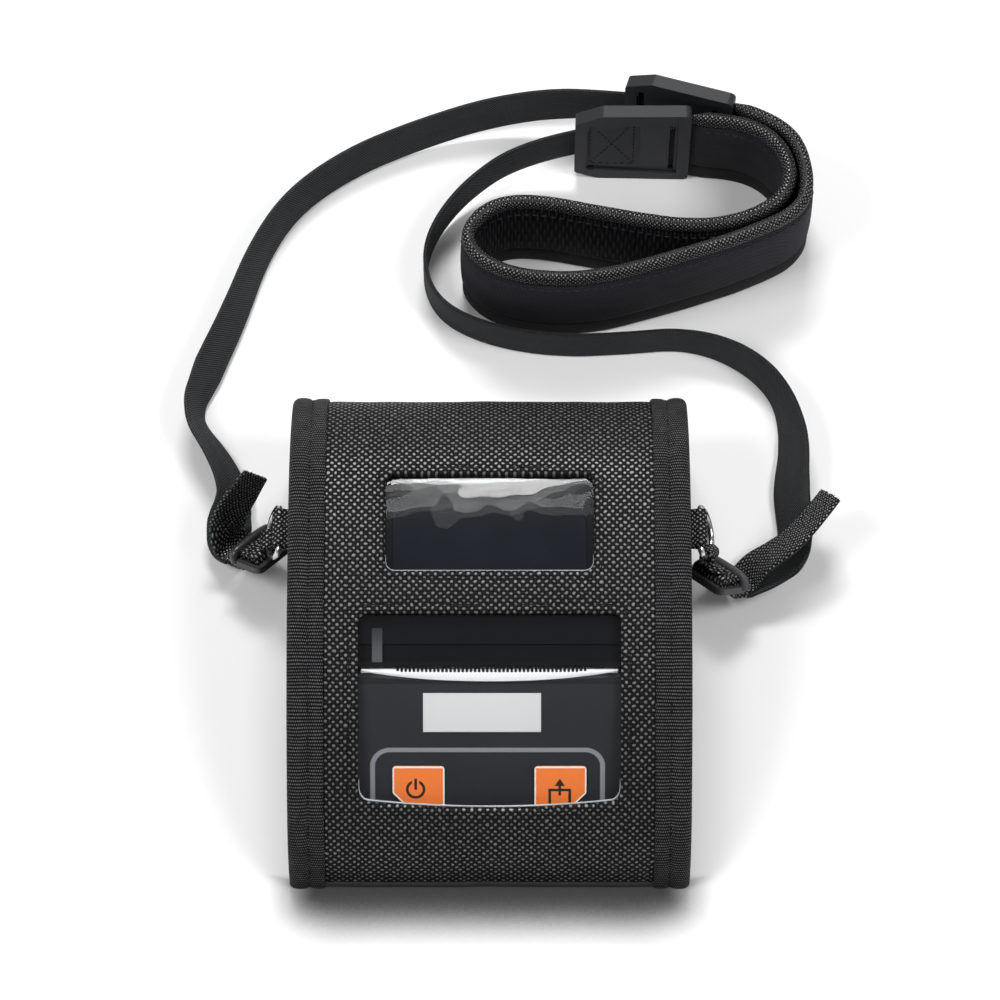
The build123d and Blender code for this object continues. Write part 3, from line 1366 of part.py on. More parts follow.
def build_nodes():
    """Every separate piece by name."""
    nodes = {
        "case_back": case_back(),
        "case_gusset_right": case_gusset(),
        "body_binding_right": body_binding(),
        "flap_panel": flap_panel(),
        "flap_binding_right": flap_binding(),
        "flap_hem": flap_hem(),
        "window_film_upper": window_film(UPPER_HALF, UPPER_NEAR, UPPER_FAR),
        "window_film_lower": window_film(LOWER_HALF, LOWER_MIDDLE, LOWER_FAR),
        "hook_tape": fastener_tape(CASE_SKIN_IN, 3.0, 11.0, 35.0),
        "loop_tape": fastener_tape(NEAR_WALL_INSET - FASTENER_TAPE, 3.0, 11.0, 35.0),
        "ring_tab_right": ring_tab(),
        "d_ring_right": d_ring(),
        "base_shell": base_shell(),
        "upper_housing": upper_housing(),
        "panel_overlay": panel_overlay(),
        "name_plate": name_plate(),
        "power_button": panel_button(-1),
        "feed_button": panel_button(1),
        "release_button": release_button(),
        "housing_screws": housing_screws(),
        "main_board": main_board(),
        "key_switches": key_switches(),
        "battery_pack": battery_pack(),
        "battery_cover": battery_cover(),
        "paper_lid": paper_lid(),
        "lid_window": lid_window(),
        "lid_hinge_pin": lid_hinge_pin(),
        "tear_bar": tear_bar(),
        "platen_roller": platen_roller(),
        "platen_shaft": platen_shaft(),
        "platen_bushes": platen_bushes(),
        "platen_gear": platen_gear(),
        "idler_gear": idler_gear(),
        "motor_pinion": motor_pinion(),
        "motor": motor(),
        "gear_plate": gear_plate(),
        "print_head": print_head(),
        "head_heat_sink": head_heat_sink(),
        "head_pivot_pin": head_pivot_pin(),
        "head_bracket": head_bracket(),
        "head_springs": head_springs(),
        "paper_roll": paper_roll(),
        "paper_core": paper_core(),
        "paper_web": paper_web(),
        "shoulder_pad": shoulder_pad(),
        "pad_fitting_far": pad_fitting(FAR_FITTING),
        "pad_fitting_near": pad_fitting(NEAR_FITTING),
        "slider_left": slider_plate(LEFT_SLIDER),
        "slider_right": slider_plate(RIGHT_SLIDER),
        "strap_web_left": ribbon("strap_web_left", LEFT_WEB, LEFT_WEB_LEANS, webbing_section(), 8.0),
        "strap_web_right": ribbon("strap_web_right", RIGHT_WEB, RIGHT_WEB_LEANS, webbing_section(), 8.0),
        "strap_tail_left": ribbon("strap_tail_left", LEFT_TAIL, LEFT_TAIL_LEANS, webbing_section(), 3.0),
        "strap_tail_right": ribbon("strap_tail_right", RIGHT_TAIL, RIGHT_TAIL_LEANS, webbing_section(), 3.0),
        "strap_loop_left": strap_loop(LEFT_SLIDER, -1, 0.0),
        "strap_loop_right": strap_loop(RIGHT_SLIDER, 1, 45.0),
    }
    for name in ("case_gusset", "body_binding", "flap_binding", "ring_tab", "d_ring"):
        nodes[name + "_left"] = mirrored(nodes[name + "_right"])
    return nodes


def main():
    os.makedirs("parts", exist_ok=True)
    for name, shape in build_nodes().items():
        export_step(shape, f"parts/{name}.step")


main()
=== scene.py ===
import logging
import math
from dataclasses import dataclass, field
from enum import Enum
from typing import Any, Callable, Iterable, Sequence

import bpy
import numpy as np
from bpy.types import Material, Object, Scene
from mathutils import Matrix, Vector
from mathutils.geometry import delaunay_2d_cdt


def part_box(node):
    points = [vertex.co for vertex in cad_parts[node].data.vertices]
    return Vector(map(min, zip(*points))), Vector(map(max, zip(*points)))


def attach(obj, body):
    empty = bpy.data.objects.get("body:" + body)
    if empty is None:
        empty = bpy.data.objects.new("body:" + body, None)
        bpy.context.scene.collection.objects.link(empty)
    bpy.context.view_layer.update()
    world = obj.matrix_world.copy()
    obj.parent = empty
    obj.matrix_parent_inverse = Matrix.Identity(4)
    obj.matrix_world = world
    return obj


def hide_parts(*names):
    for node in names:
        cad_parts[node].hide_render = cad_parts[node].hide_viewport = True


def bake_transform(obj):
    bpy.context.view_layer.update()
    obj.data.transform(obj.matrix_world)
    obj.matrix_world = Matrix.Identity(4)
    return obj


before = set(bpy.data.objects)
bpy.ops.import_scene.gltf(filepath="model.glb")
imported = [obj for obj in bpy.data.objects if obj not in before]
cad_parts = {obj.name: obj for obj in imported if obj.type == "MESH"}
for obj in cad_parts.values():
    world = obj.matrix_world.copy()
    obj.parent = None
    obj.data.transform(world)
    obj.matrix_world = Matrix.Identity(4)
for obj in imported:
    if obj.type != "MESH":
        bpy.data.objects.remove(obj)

LOG = logging.getLogger("printer_case")
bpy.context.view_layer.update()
MM = 0.001
CLOTH = "cloth"

Point = tuple[float, float, float]
Plan = tuple[float, float]
Colour = tuple[float, float, float]
Spot = tuple[Vector, Vector]
Station = tuple[Vector, Vector, Vector, Vector, float]
Marked = tuple[Point, Point]


class Side(Enum):
    """The right and the left of the case, each with the sign of X there."""

    RIGHT = 1
    LEFT = -1

    @property
    def word(self) -> str:
        """How the names of pieces end on this side."""
        return self.name.lower()


# Shader maths


class Value:
    """A shader socket. Operators on it add Math nodes to its shader."""

    def __init__(self, shader: "Shader", socket: Any) -> None:
        """Keep the socket and the shader that it belongs to."""
        self.shader = shader
        self.socket = socket

    def math(self, operation: str, *others: Any, swap: bool = False) -> "Value":
        """Add one Math node.

        Args:
            operation: The Math node's operation.
            others: Numbers or values for its other sockets.
            swap: Put this value second.

        Returns:
            The node's result.
        """
        terms = [self, *others]
        if swap:
            terms = [terms[1], terms[0], *terms[2:]]
        return self.shader.node("ShaderNodeMath", {"operation": operation}, dict(enumerate(terms)))

    def __add__(self, other: Any) -> "Value":
        """This plus other, in either order."""
        return self.math("ADD", other)

    __radd__ = __add__

    def __sub__(self, other: Any) -> "Value":
        """This minus other."""
        return self.math("SUBTRACT", other)

    def __rsub__(self, other: Any) -> "Value":
        """Other minus this."""
        return self.math("SUBTRACT", other, swap=True)

    def __mul__(self, other: Any) -> "Value":
        """This times other, in either order."""
        return self.math("MULTIPLY", other)

    __rmul__ = __mul__

    def __truediv__(self, other: Any) -> "Value":
        """This over other."""
        return self.math("DIVIDE", other)

    def __pow__(self, other: Any) -> "Value":
        """This raised to other."""
        return self.math("POWER", other)

    def __abs__(self) -> "Value":
        """This without its sign."""
        return self.math("ABSOLUTE")

    def wave(self, pitch: float) -> "Value":
        """A rounded ridge from 0 to 1 and back over each pitch."""
        return abs((self * (math.pi / pitch)).math("SINE"))

    def parity(self) -> "Value":
        """0 or 1, turning over at each whole number."""
        return self.math("FLOOR").math("FLOORED_MODULO", 2.0)

    def least(self, other: Any) -> "Value":
        """The smaller of the two."""
        return self.math("MINIMUM", other)

    def most(self, other: Any) -> "Value":
        """The larger of the two."""
        return self.math("MAXIMUM", other)

    def step(self, low: float, high: float) -> "Value":
        """0 below low, 1 above high and smooth between."""
        return self.shader.node(
            "ShaderNodeMapRange",
            {"interpolation_type": "SMOOTHSTEP"},
            {"Value": self, "From Min": low, "From Max": high},
        )


class Shader:
    """One material and its nodes."""

    def __init__(self, name: str) -> None:
        """Start a material with its Principled shader and output."""
        self.material = bpy.data.materials.new(name)
        self.material.use_nodes = True
        self.tree = self.material.node_tree
        self.surface = self.tree.nodes["Principled BSDF"]
        self.output = self.tree.nodes["Material Output"]

    def node(self, kind: str, settings: dict[str, Any], sockets: dict[Any, Any], output: Any = 0) -> Value:
        """Add a node.

        Args:
            kind: The node's type.
            settings: Its properties, set first.
            sockets: Numbers, colours or values for its inputs, by name or number.
            output: The output that is returned, by name or number.

        Returns:
            The chosen output.
        """
        made = self.tree.nodes.new(kind)
        for name, setting in settings.items():
            if name == "stops":
                self._stops(made.color_ramp, setting)
            else:
                setattr(made, name, setting)
        for name, given in sockets.items():
            if isinstance(given, Value):
                self.tree.links.new(given.socket, made.inputs[name])
            else:
                made.inputs[name].default_value = given
        return Value(self, made.outputs[output])

    @staticmethod
    def _stops(ramp: Any, stops: Sequence[tuple[float, Sequence[float]]]) -> None:
        """Fill a ramp with its positions and colours."""
        while len(ramp.elements) > len(stops):
            ramp.elements.remove(ramp.elements[-1])
        while len(ramp.elements) < len(stops):
            ramp.elements.new(1.0)
        for element, (place, colour) in zip(ramp.elements, stops):
            element.position = place
            element.color = (*colour[:3], 1.0)

    def axes(self, vector: Value) -> tuple[Value, Value, Value]:
        """The three numbers of a vector."""
        split = self.tree.nodes.new("ShaderNodeSeparateXYZ")
        self.tree.links.new(vector.socket, split.inputs[0])
        return tuple(Value(self, out) for out in split.outputs)

    def cloth(self) -> tuple[Value, Value, Value]:
        """Coordinates along a piece's own cloth, in millimetres."""
        return self.axes(self.node("ShaderNodeAttribute", {"attribute_name": CLOTH}, {}, "Vector"))

    def place(self) -> Value:
        """The point on the object at rest, in metres."""
        return self.node("ShaderNodeTexCoord", {}, {}, "Object")

    def noise(self, vector: Value, scale: float, detail: float = 2.0) -> Value:
        """Soft random values about 0.5."""
        return self.node("ShaderNodeTexNoise", {}, {"Vector": vector, "Scale": scale, "Detail": detail})

    def combine(self, x: Any, y: Any, z: Any) -> Value:
        """A vector of three values."""
        return self.node("ShaderNodeCombineXYZ", {}, {0: x, 1: y, 2: z})

    def vector(self, operation: str, first: Value, second: Any, output: str = "Vector") -> Value:
        """Work with two vectors."""
        return self.node("ShaderNodeVectorMath", {"operation": operation}, {0: first, 1: second}, output)

    def mix(self, factor: Any, first: Any, second: Any) -> Value:
        """Blend two colours."""
        settings = {"data_type": "RGBA", "clamp_factor": True}
        return self.node("ShaderNodeMix", settings, {0: factor, 6: _rgba(first), 7: _rgba(second)}, 2)

    def set(self, **sockets: Any) -> "Shader":
        """Set or link the Principled shader's sockets, with _ for each space."""
        for name, given in sockets.items():
            slot = self.surface.inputs[name.replace("_", " ")]
            if isinstance(given, Value):
                self.tree.links.new(given.socket, slot)
            else:
                slot.default_value = _rgba(given) if slot.type == "RGBA" else given
        return self

    def bump(self, height: Value, reach: float, strength: float = 1.0) -> "Shader":
        """Raise the surface by a height of 0 to 1 over a reach in metres."""
        normal = self.node("ShaderNodeBump", {}, {"Height": height, "Distance": reach, "Strength": strength})
        self.tree.links.new(normal.socket, self.surface.inputs["Normal"])
        return self


def _rgba(colour: Any) -> Any:
    """A colour with its alpha, or a value as it is."""
    if isinstance(colour, Value):
        return colour
    return (*colour[:3], 1.0)


# Finishes


@dataclass(frozen=True)
class Finish:
    """A named finish. Each kind draws its own nodes."""

    name: str

    def make(self) -> Material:
        """Build the material."""
        shader = Shader(self.name)
        self.draw(shader)
        return shader.material

    def draw(self, shader: Shader) -> None:
        """Add the finish's nodes to its shader."""
        raise NotImplementedError


@dataclass(frozen=True)
class BasketWeave(Finish):
    """Plain weave of thick coated yarn, a bead with a painted highlight on each raised crossing."""

    yarn: float = 1.22
    dark: Colour = (0.003, 0.003, 0.0035)
    light: Colour = (0.34, 0.34, 0.35)
    # Strength of the painted highlight in the colour of each bead.
    bead_highlight: float = 0.15
    face: float = 0.085
    body: float = 0.035
    gloss: float = 1.0
    roughness: float = 0.45
    relief: float = 0.0004

    def draw(self, shader: Shader) -> None:
        """Add the finish's nodes."""
        u, v, _ = shader.cloth()
        drift = shader.noise(shader.combine(u, v, 0.0), 0.09) - 0.5
        jostle = shader.noise(shader.combine(u, v, 8.0), 0.55, 0.0) - 0.5
        nudge = shader.noise(shader.combine(u, v, 12.0), 0.6, 0.0) - 0.5
        across = (u + drift * 0.7 + jostle * 0.75) / self.yarn
        along = (v + drift * 0.5 + nudge * 0.75) / self.yarn
        turned = (across.math("FLOOR") + along.math("FLOOR")).parity()
        x = across.math("FRACT") - 0.5
        y = along.math("FRACT") - 0.5
        up = y - 0.12
        mound = 1.0 - (x * x * 3.0 + y * y * 2.6).least(1.0)
        bead_highlight = 1.0 - (x * x * 4.8 + up * up * 6.6).step(0.0, 1.2)
        square = 1.0 - abs(x).most(abs(y)).step(0.26, 0.5)
        lot = shader.noise(shader.combine(across.math("FLOOR"), along.math("FLOOR"), 0.0), 0.73, 0.0)
        fibre = shader.noise(shader.combine(u * 3.0, v * 0.9, 0.0), 1.6, 3.0)
        height = mound * (0.3 + 0.7 * turned)
        # Painted highlight: each raised crossing's bead is brightened in the colour, standing in for the
        # lamps' glint; the coat below adds real gloss on the same spot.
        raised = turned * (bead_highlight * self.bead_highlight + square * self.face) * (0.6 + 0.7 * lot.step(0.28, 0.72))
        tone = raised + mound * self.body * (0.3 + fibre)
        worn = shader.noise(shader.combine(u, v, 5.0), 0.03)
        shader.set(
            Base_Color=shader.mix(tone * (0.6 + 0.8 * worn), self.dark, self.light),
            Roughness=self.roughness + 0.25 * fibre - 0.15 * bead_highlight * turned,
            Specular_IOR_Level=0.05,
            Coat_Weight=turned * bead_highlight * self.gloss,
            Coat_Roughness=0.48,
            Coat_IOR=2.0,
        )
        shader.bump(height + 0.1 * fibre, self.relief)


@dataclass(frozen=True)
class RibbedTape(Finish):
    """Binding tape with ribs across it, each a row of yarn dots."""

    rib: float = 1.04
    dot: float = 0.7
    dark: Colour = (0.003, 0.003, 0.0035)
    light: Colour = (0.16, 0.16, 0.165)
    roughness: float = 0.5
    relief: float = 0.0003

    def draw(self, shader: Shader) -> None:
        """Add the finish's nodes."""
        u, v, _ = shader.cloth()
        drift = shader.noise(shader.combine(u * 0.4, v, 0.0), 0.12) - 0.5
        place = v + drift * 0.9
        ribs = place.wave(self.rib)
        rows = (place / self.rib).parity()
        dots = (u + rows * (self.dot / 2)).wave(self.dot)
        height = ribs * (0.6 + 0.4 * dots)
        fuzz = shader.noise(shader.combine(u, v, 1.0), 2.4, 3.0)
        patch = shader.noise(shader.combine(u * 0.6, v * 0.5, 7.0), 0.5)
        tone = (ribs * ribs * (0.25 + 0.75 * dots * dots) * (0.3 + fuzz)).step(0.08, 1.0)
        shader.set(
            Base_Color=shader.mix(tone * (0.45 + 0.9 * patch), self.dark, self.light),
            Roughness=self.roughness + 0.25 * fuzz,
            Specular_IOR_Level=0.08,
        )
        shader.bump(height + 0.15 * fuzz, self.relief)


@dataclass(frozen=True)
class TwillWeb(Finish):
    """Webbing with a fine slanted weave."""

    pitch: float = 0.8
    slant: float = 0.55
    dark: Colour = (0.006, 0.0065, 0.007)
    light: Colour = (0.06, 0.066, 0.07)
    roughness: float = 0.62
    relief: float = 0.00016
    upright: float = 0.0

    def draw(self, shader: Shader) -> None:
        """Add the finish's nodes."""
        u, v, _ = shader.cloth()
        drift = shader.noise(shader.combine(u, v, 0.0), 0.15) - 0.5
        lines = (v + u * self.slant + drift * 0.5).wave(self.pitch)
        ends = (u + drift * 0.3).wave(self.pitch * 0.9)
        height = lines * (0.6 + 0.4 * ends) * (1.0 - self.upright) + ends * self.upright
        fuzz = shader.noise(shader.combine(u, v, 2.0), 2.8, 3.0)
        worn = shader.noise(shader.combine(u * 0.5, v * 0.1, 4.0), 0.3)
        tone = (height * (0.45 + fuzz) + 0.3 * (worn - 0.5)).step(0.1, 1.1)
        shader.set(
            Base_Color=shader.mix(tone, self.dark, self.light),
            Roughness=self.roughness + 0.2 * fuzz,
            Specular_IOR_Level=0.1,
        )
        shader.bump(height + 0.2 * fuzz, self.relief)


@dataclass(frozen=True)
class Thread(Finish):
    """Sewing thread with its twist."""

    colour: Colour = (0.003, 0.003, 0.0035)

    def draw(self, shader: Shader) -> None:
        """Add the finish's nodes."""
        u, v, _ = shader.cloth()
        twist = (v + u * 0.8).wave(0.34)
        tone = shader.mix(twist, self.colour, [3.2 * part for part in self.colour])
        shader.set(Base_Color=tone, Roughness=0.5, Specular_IOR_Level=0.1)
        shader.bump(twist, 0.00008)


class PileTape(Finish):
    """Hook or loop tape."""

    def draw(self, shader: Shader) -> None:
        """Add the finish's nodes."""
        u, v, w = shader.cloth()
        pile = shader.noise(shader.combine(u, v, w), 1.9, 4.0)
        rows = u.wave(1.1) * v.wave(1.1)
        shade = (pile * 0.7 + rows * 0.4).step(0.3, 0.9)
        tone = shader.mix(shade, (0.006, 0.006, 0.006), (0.04, 0.04, 0.042))
        shader.set(Base_Color=tone, Roughness=0.85, Specular_IOR_Level=0.2)
        shader.bump(pile + rows * 0.5, 0.0006)


@dataclass(frozen=True)
class Moulded(Finish):
    """Moulded plastic with a fine skin and paler blotches at random."""

    colour: Colour
    roughness: float = 0.5
    grain: float = 0.00003
    scale: float = 2600.0
    blotch: float = 0.12
    shine: float = 0.2

    def draw(self, shader: Shader) -> None:
        """Add the finish's nodes."""
        place = shader.place()
        skin = shader.noise(place, self.scale, 2.0)
        broad = shader.noise(place, 42.0, 3.0)
        pale = [min(1.0, part * (1 + self.blotch * 2) + 0.004) for part in self.colour]
        shader.set(
            Base_Color=shader.mix(broad.step(0.35, 0.7) * self.blotch * 4, self.colour, pale),
            Roughness=self.roughness + 0.1 * (broad - 0.5) + 0.05 * (skin - 0.5),
            Specular_IOR_Level=self.shine,
        )
        shader.bump(skin, self.grain)


@dataclass(frozen=True)
class Gloss(Finish):
    """Hard gloss plastic with faint haze."""

    colour: Colour
    roughness: float = 0.08
    coat: float = 0.3

    def draw(self, shader: Shader) -> None:
        """Add the finish's nodes."""
        haze = shader.noise(shader.place(), 60.0, 4.0)
        pale = [p * 1.5 + 0.003 for p in self.colour]
        shader.set(
            Base_Color=shader.mix(haze.step(0.4, 0.8) * 0.25, self.colour, pale),
            Roughness=self.roughness + 0.08 * haze,
            Coat_Weight=self.coat,
            Specular_IOR_Level=0.3,
        )
        shader.bump(haze, 0.00002)


@dataclass(frozen=True)
class Metal(Finish):
    """Plain or plated metal with fine drawn lines."""

    colour: Colour = (0.62, 0.62, 0.64)
    roughness: float = 0.3
    lines: Point = (1.0, 12.0, 12.0)

    def draw(self, shader: Shader) -> None:
        """Add the finish's nodes."""
        drawn = shader.noise(shader.vector("MULTIPLY", shader.place(), self.lines), 160.0, 3.0)
        dull = shader.noise(shader.place(), 90.0, 3.0)
        shader.set(
            Base_Color=shader.mix(dull.step(0.35, 0.75) * 0.5, self.colour, [0.78 * p for p in self.colour]),
            Metallic=1.0,
            Roughness=self.roughness + 0.16 * (drawn - 0.5) + 0.12 * dull,
        )
        shader.bump(drawn, 0.00001)


@dataclass(frozen=True)
class PrintedPanel(Finish):
    """Printed overlay with a rounded outline drawn round the keys."""

    colour: Colour = (0.017, 0.0186, 0.022)
    ink: Colour = (0.24, 0.25, 0.27)
    half: float = 0.0364
    middle: float = -0.0006
    top: float = -0.0437
    bottom: float = -0.100
    corner: float = 0.0062
    slope: float = 0.764
    line: float = 0.0015

    def draw(self, shader: Shader) -> None:
        """Add the finish's nodes."""
        place = shader.place()
        x, y, _ = shader.axes(place)
        along = abs(x - self.middle) - (self.half - self.corner)
        mean = (self.top + self.bottom) / 2
        tall = (self.top - self.bottom) / 2 / self.slope - self.corner
        up = abs((y - mean) / self.slope) - tall
        outside = (along.most(0.0) ** 2.0 + up.most(0.0) ** 2.0).math("SQRT")
        distance = outside + along.most(up).least(0.0) - self.corner
        near = abs(distance + self.line / 2) - self.line / 2
        mask = 1.0 - near.step(-0.00008, 0.00008)
        broad = shader.noise(place, 36.0, 2.0)
        grain = shader.noise(place, 3000.0)
        base = shader.mix(broad.step(0.3, 0.8) * 0.5, self.colour, [p * 1.35 for p in self.colour])
        shader.set(
            Base_Color=shader.mix(mask, base, self.ink),
            Roughness=0.46 + 0.1 * broad - 0.1 * mask,
            Specular_IOR_Level=0.3,
        )
        shader.bump(grain * 0.1 + mask, 0.000006)


@dataclass(frozen=True)
class LidPlastic(Finish):
    """Lid moulding, paler on the rib beside the tear bar."""

    colour: Colour = (0.0035, 0.004, 0.0058)
    pale: Colour = (0.085, 0.088, 0.095)

    def draw(self, shader: Shader) -> None:
        """Add the finish's nodes."""
        place = shader.place()
        x, y, _ = shader.axes(place)
        rib = (abs(x + 0.0348) - 0.0016).most(abs(y + 0.0155) - 0.0052)
        mask = 1.0 - rib.step(-0.0002, 0.0002)
        broad = shader.noise(place, 50.0, 3.0)
        fade = y.step(-0.0095, -0.0195)
        tone = shader.mix(mask * (0.35 + 0.65 * fade), self.colour, self.pale)
        shader.set(Base_Color=tone, Roughness=0.42 + 0.12 * broad, Specular_IOR_Level=0.08)
        shader.bump(broad, 0.00001)


@dataclass(frozen=True)
class OrangeKey(Finish):
    """Printed key face: a pale rim and a dark symbol."""

    side: Side
    colour: Colour = (1.0, 0.235, 0.045)
    rim: Colour = (0.95, 0.93, 0.9)
    ink: Colour = (0.02, 0.012, 0.01)
    centre: Point = (0.022, -0.0546, 0.026278)
    up: Point = (0.0, 0.7697, 0.6385)
    half: float = 0.00805
    chamfer: float = 0.0075

    def draw(self, shader: Shader) -> None:
        """Add the finish's nodes."""
        place = shader.place()
        centre = (self.side.value * self.centre[0], *self.centre[1:])
        away = shader.vector("SUBTRACT", place, centre)
        t = shader.vector("DOT_PRODUCT", away, self.up, "Value")
        x, _, _ = shader.axes(away)
        lift = shader.vector("DOT_PRODUCT", away, (0.0, -self.up[2], self.up[1]), "Value")
        sides = (abs(x) - self.half).most(abs(t) - self.half)
        corner = (x * self.side.value - t - (2 * self.half - self.chamfer)) * math.sqrt(0.5)
        edge = sides.most(corner)
        rim = edge.step(-0.00052, -0.0004)
        mark = self._symbol(x, t)
        face = lift.step(0.0002, 0.0004)
        tone = shader.noise(place, 400.0)
        body = shader.mix(tone * 0.3, self.colour, [p * 0.86 for p in self.colour])
        printed = shader.mix(mark, shader.mix(rim, body, self.rim), self.ink)
        shader.set(
            Base_Color=shader.mix(face, body, printed),
            Roughness=0.36 + 0.12 * tone,
            Specular_IOR_Level=0.45,
        )
        shader.bump(tone, 0.00001)

    def _symbol(self, x: Value, t: Value) -> Value:
        """Mask of the printed symbol."""
        soft = 0.00005
        bar = 0.00042
        if self.side is Side.LEFT:
            px = x + 0.0009
            pt = t - 0.0007
            radius = (px * px + pt * pt).math("SQRT")
            ring = 1.0 - (abs(radius - 0.0026) - bar).step(-soft, soft)
            gap = (1.0 - (abs(px) - 0.0011).step(-soft, soft)) * pt.step(0.0, soft)
            ring = ring * (1.0 - gap)
            stem = 1.0 - (abs(px) - bar).most(abs(pt - 0.0017) - 0.0018).step(-soft, soft)
            return ring.most(stem)
        px = x + 0.0002
        pt = t - 0.0003
        walls = (abs(abs(px) - 0.0031) - bar).most(abs(pt + 0.0022) - 0.0028)
        shelf = (abs(pt - 0.0002) - bar).most(abs(px) - 0.0034)
        stem = (abs(px) - bar).most(abs(pt - 0.0006) - 0.0022)
        head = (abs(px) * 1.5 + pt - 0.0039).most(0.0015 - pt)
        shape = walls.least(shelf).least(stem).least(head)
        return 1.0 - shape.step(-soft, soft)


@dataclass(frozen=True)
class ClearVinyl(Finish):
    """Clear flexible film that mirrors the studio at its folds."""

    tint: Colour = (0.985, 0.988, 0.992)
    least: float = 0.021

    def draw(self, shader: Shader) -> None:
        """Add the finish's nodes."""
        u, v, _ = shader.cloth()
        slow = shader.noise(shader.combine(u, v * 1.7, 0.0), 0.036, 0.0)
        fold = shader.noise(shader.combine(u * 0.6, v * 1.3, 3.0), 0.09, 0.0)
        normal = shader.node("ShaderNodeBump", {}, {"Height": slow + 0.12 * fold, "Distance": 0.0011})
        clear = shader.node("ShaderNodeBsdfTransparent", {}, {"Color": (*self.tint, 1.0)})
        gloss = shader.node("ShaderNodeBsdfGlossy", {}, {"Roughness": 0.035, "Normal": normal})
        facing = shader.node("ShaderNodeLayerWeight", {}, {"Blend": 0.5, "Normal": normal}, "Facing")
        mirror = facing ** 5.0 * 0.7 + self.least
        both = shader.node("ShaderNodeMixShader", {}, {0: mirror, 1: clear, 2: gloss})
        shader.tree.links.new(both.socket, shader.output.inputs["Surface"])
        shader.tree.nodes.remove(shader.surface)


@dataclass(frozen=True)
class Paper(Finish):
    """Coated thermal paper, with layers on the roll's ends."""

    colour: Colour = (0.84, 0.85, 0.85)
    wound: bool = False

    def draw(self, shader: Shader) -> None:
        """Add the finish's nodes."""
        place = shader.place()
        fibre = shader.noise(place, 900.0, 4.0)
        height = fibre
        tone = fibre.step(0.2, 0.8) * 0.5
        if self.wound:
            x, y, z = shader.axes(place)
            layer = (((y - 0.036) * (y - 0.036) + (z - 0.0299) * (z - 0.0299)).math("SQRT")).wave(0.0006)
            end = abs(x).step(0.0394, 0.0397)
            height = fibre + layer * end
            tone = tone + layer * end * 0.6
        shader.set(
            Base_Color=shader.mix(tone, self.colour, [p * 0.9 for p in self.colour]),
            Roughness=0.55,
            Specular_IOR_Level=0.4,
        )
        shader.bump(height, 0.00002)


class Card(Finish):
    """Wound grey board."""

    def draw(self, shader: Shader) -> None:
        """Add the finish's nodes."""
        x, y, z = shader.axes(shader.place())
        wrap = (x + (y + z) * 0.35).wave(0.011)
        fibre = shader.noise(shader.place(), 700.0, 4.0)
        tone = (fibre * 0.8 + wrap.step(0.0, 0.08) * 0.3).step(0.2, 0.9)
        shader.set(Base_Color=shader.mix(tone, (0.32, 0.24, 0.16), (0.5, 0.39, 0.27)), Roughness=0.85)
        shader.bump(fibre, 0.00006)


class CircuitBoard(Finish):
    """Solder mask over copper lines."""

    def draw(self, shader: Shader) -> None:
        """Add the finish's nodes."""
        x, y, _ = shader.axes(shader.place())
        lane = (x / 0.0021).math("FLOOR")
        step = shader.noise(shader.combine(lane, (y / 0.004).math("FLOOR"), 0.0), 7.3)
        line = (1.0 - (abs(x / 0.0021 - lane - 0.5) - 0.17).step(-0.02, 0.02)) * step.step(0.45, 0.5)
        shader.set(
            Base_Color=shader.mix(line, (0.008, 0.07, 0.03), (0.02, 0.16, 0.06)),
            Roughness=0.3 + 0.1 * step,
            Coat_Weight=0.2,
        )
        shader.bump(line, 0.00003)


# Meshes


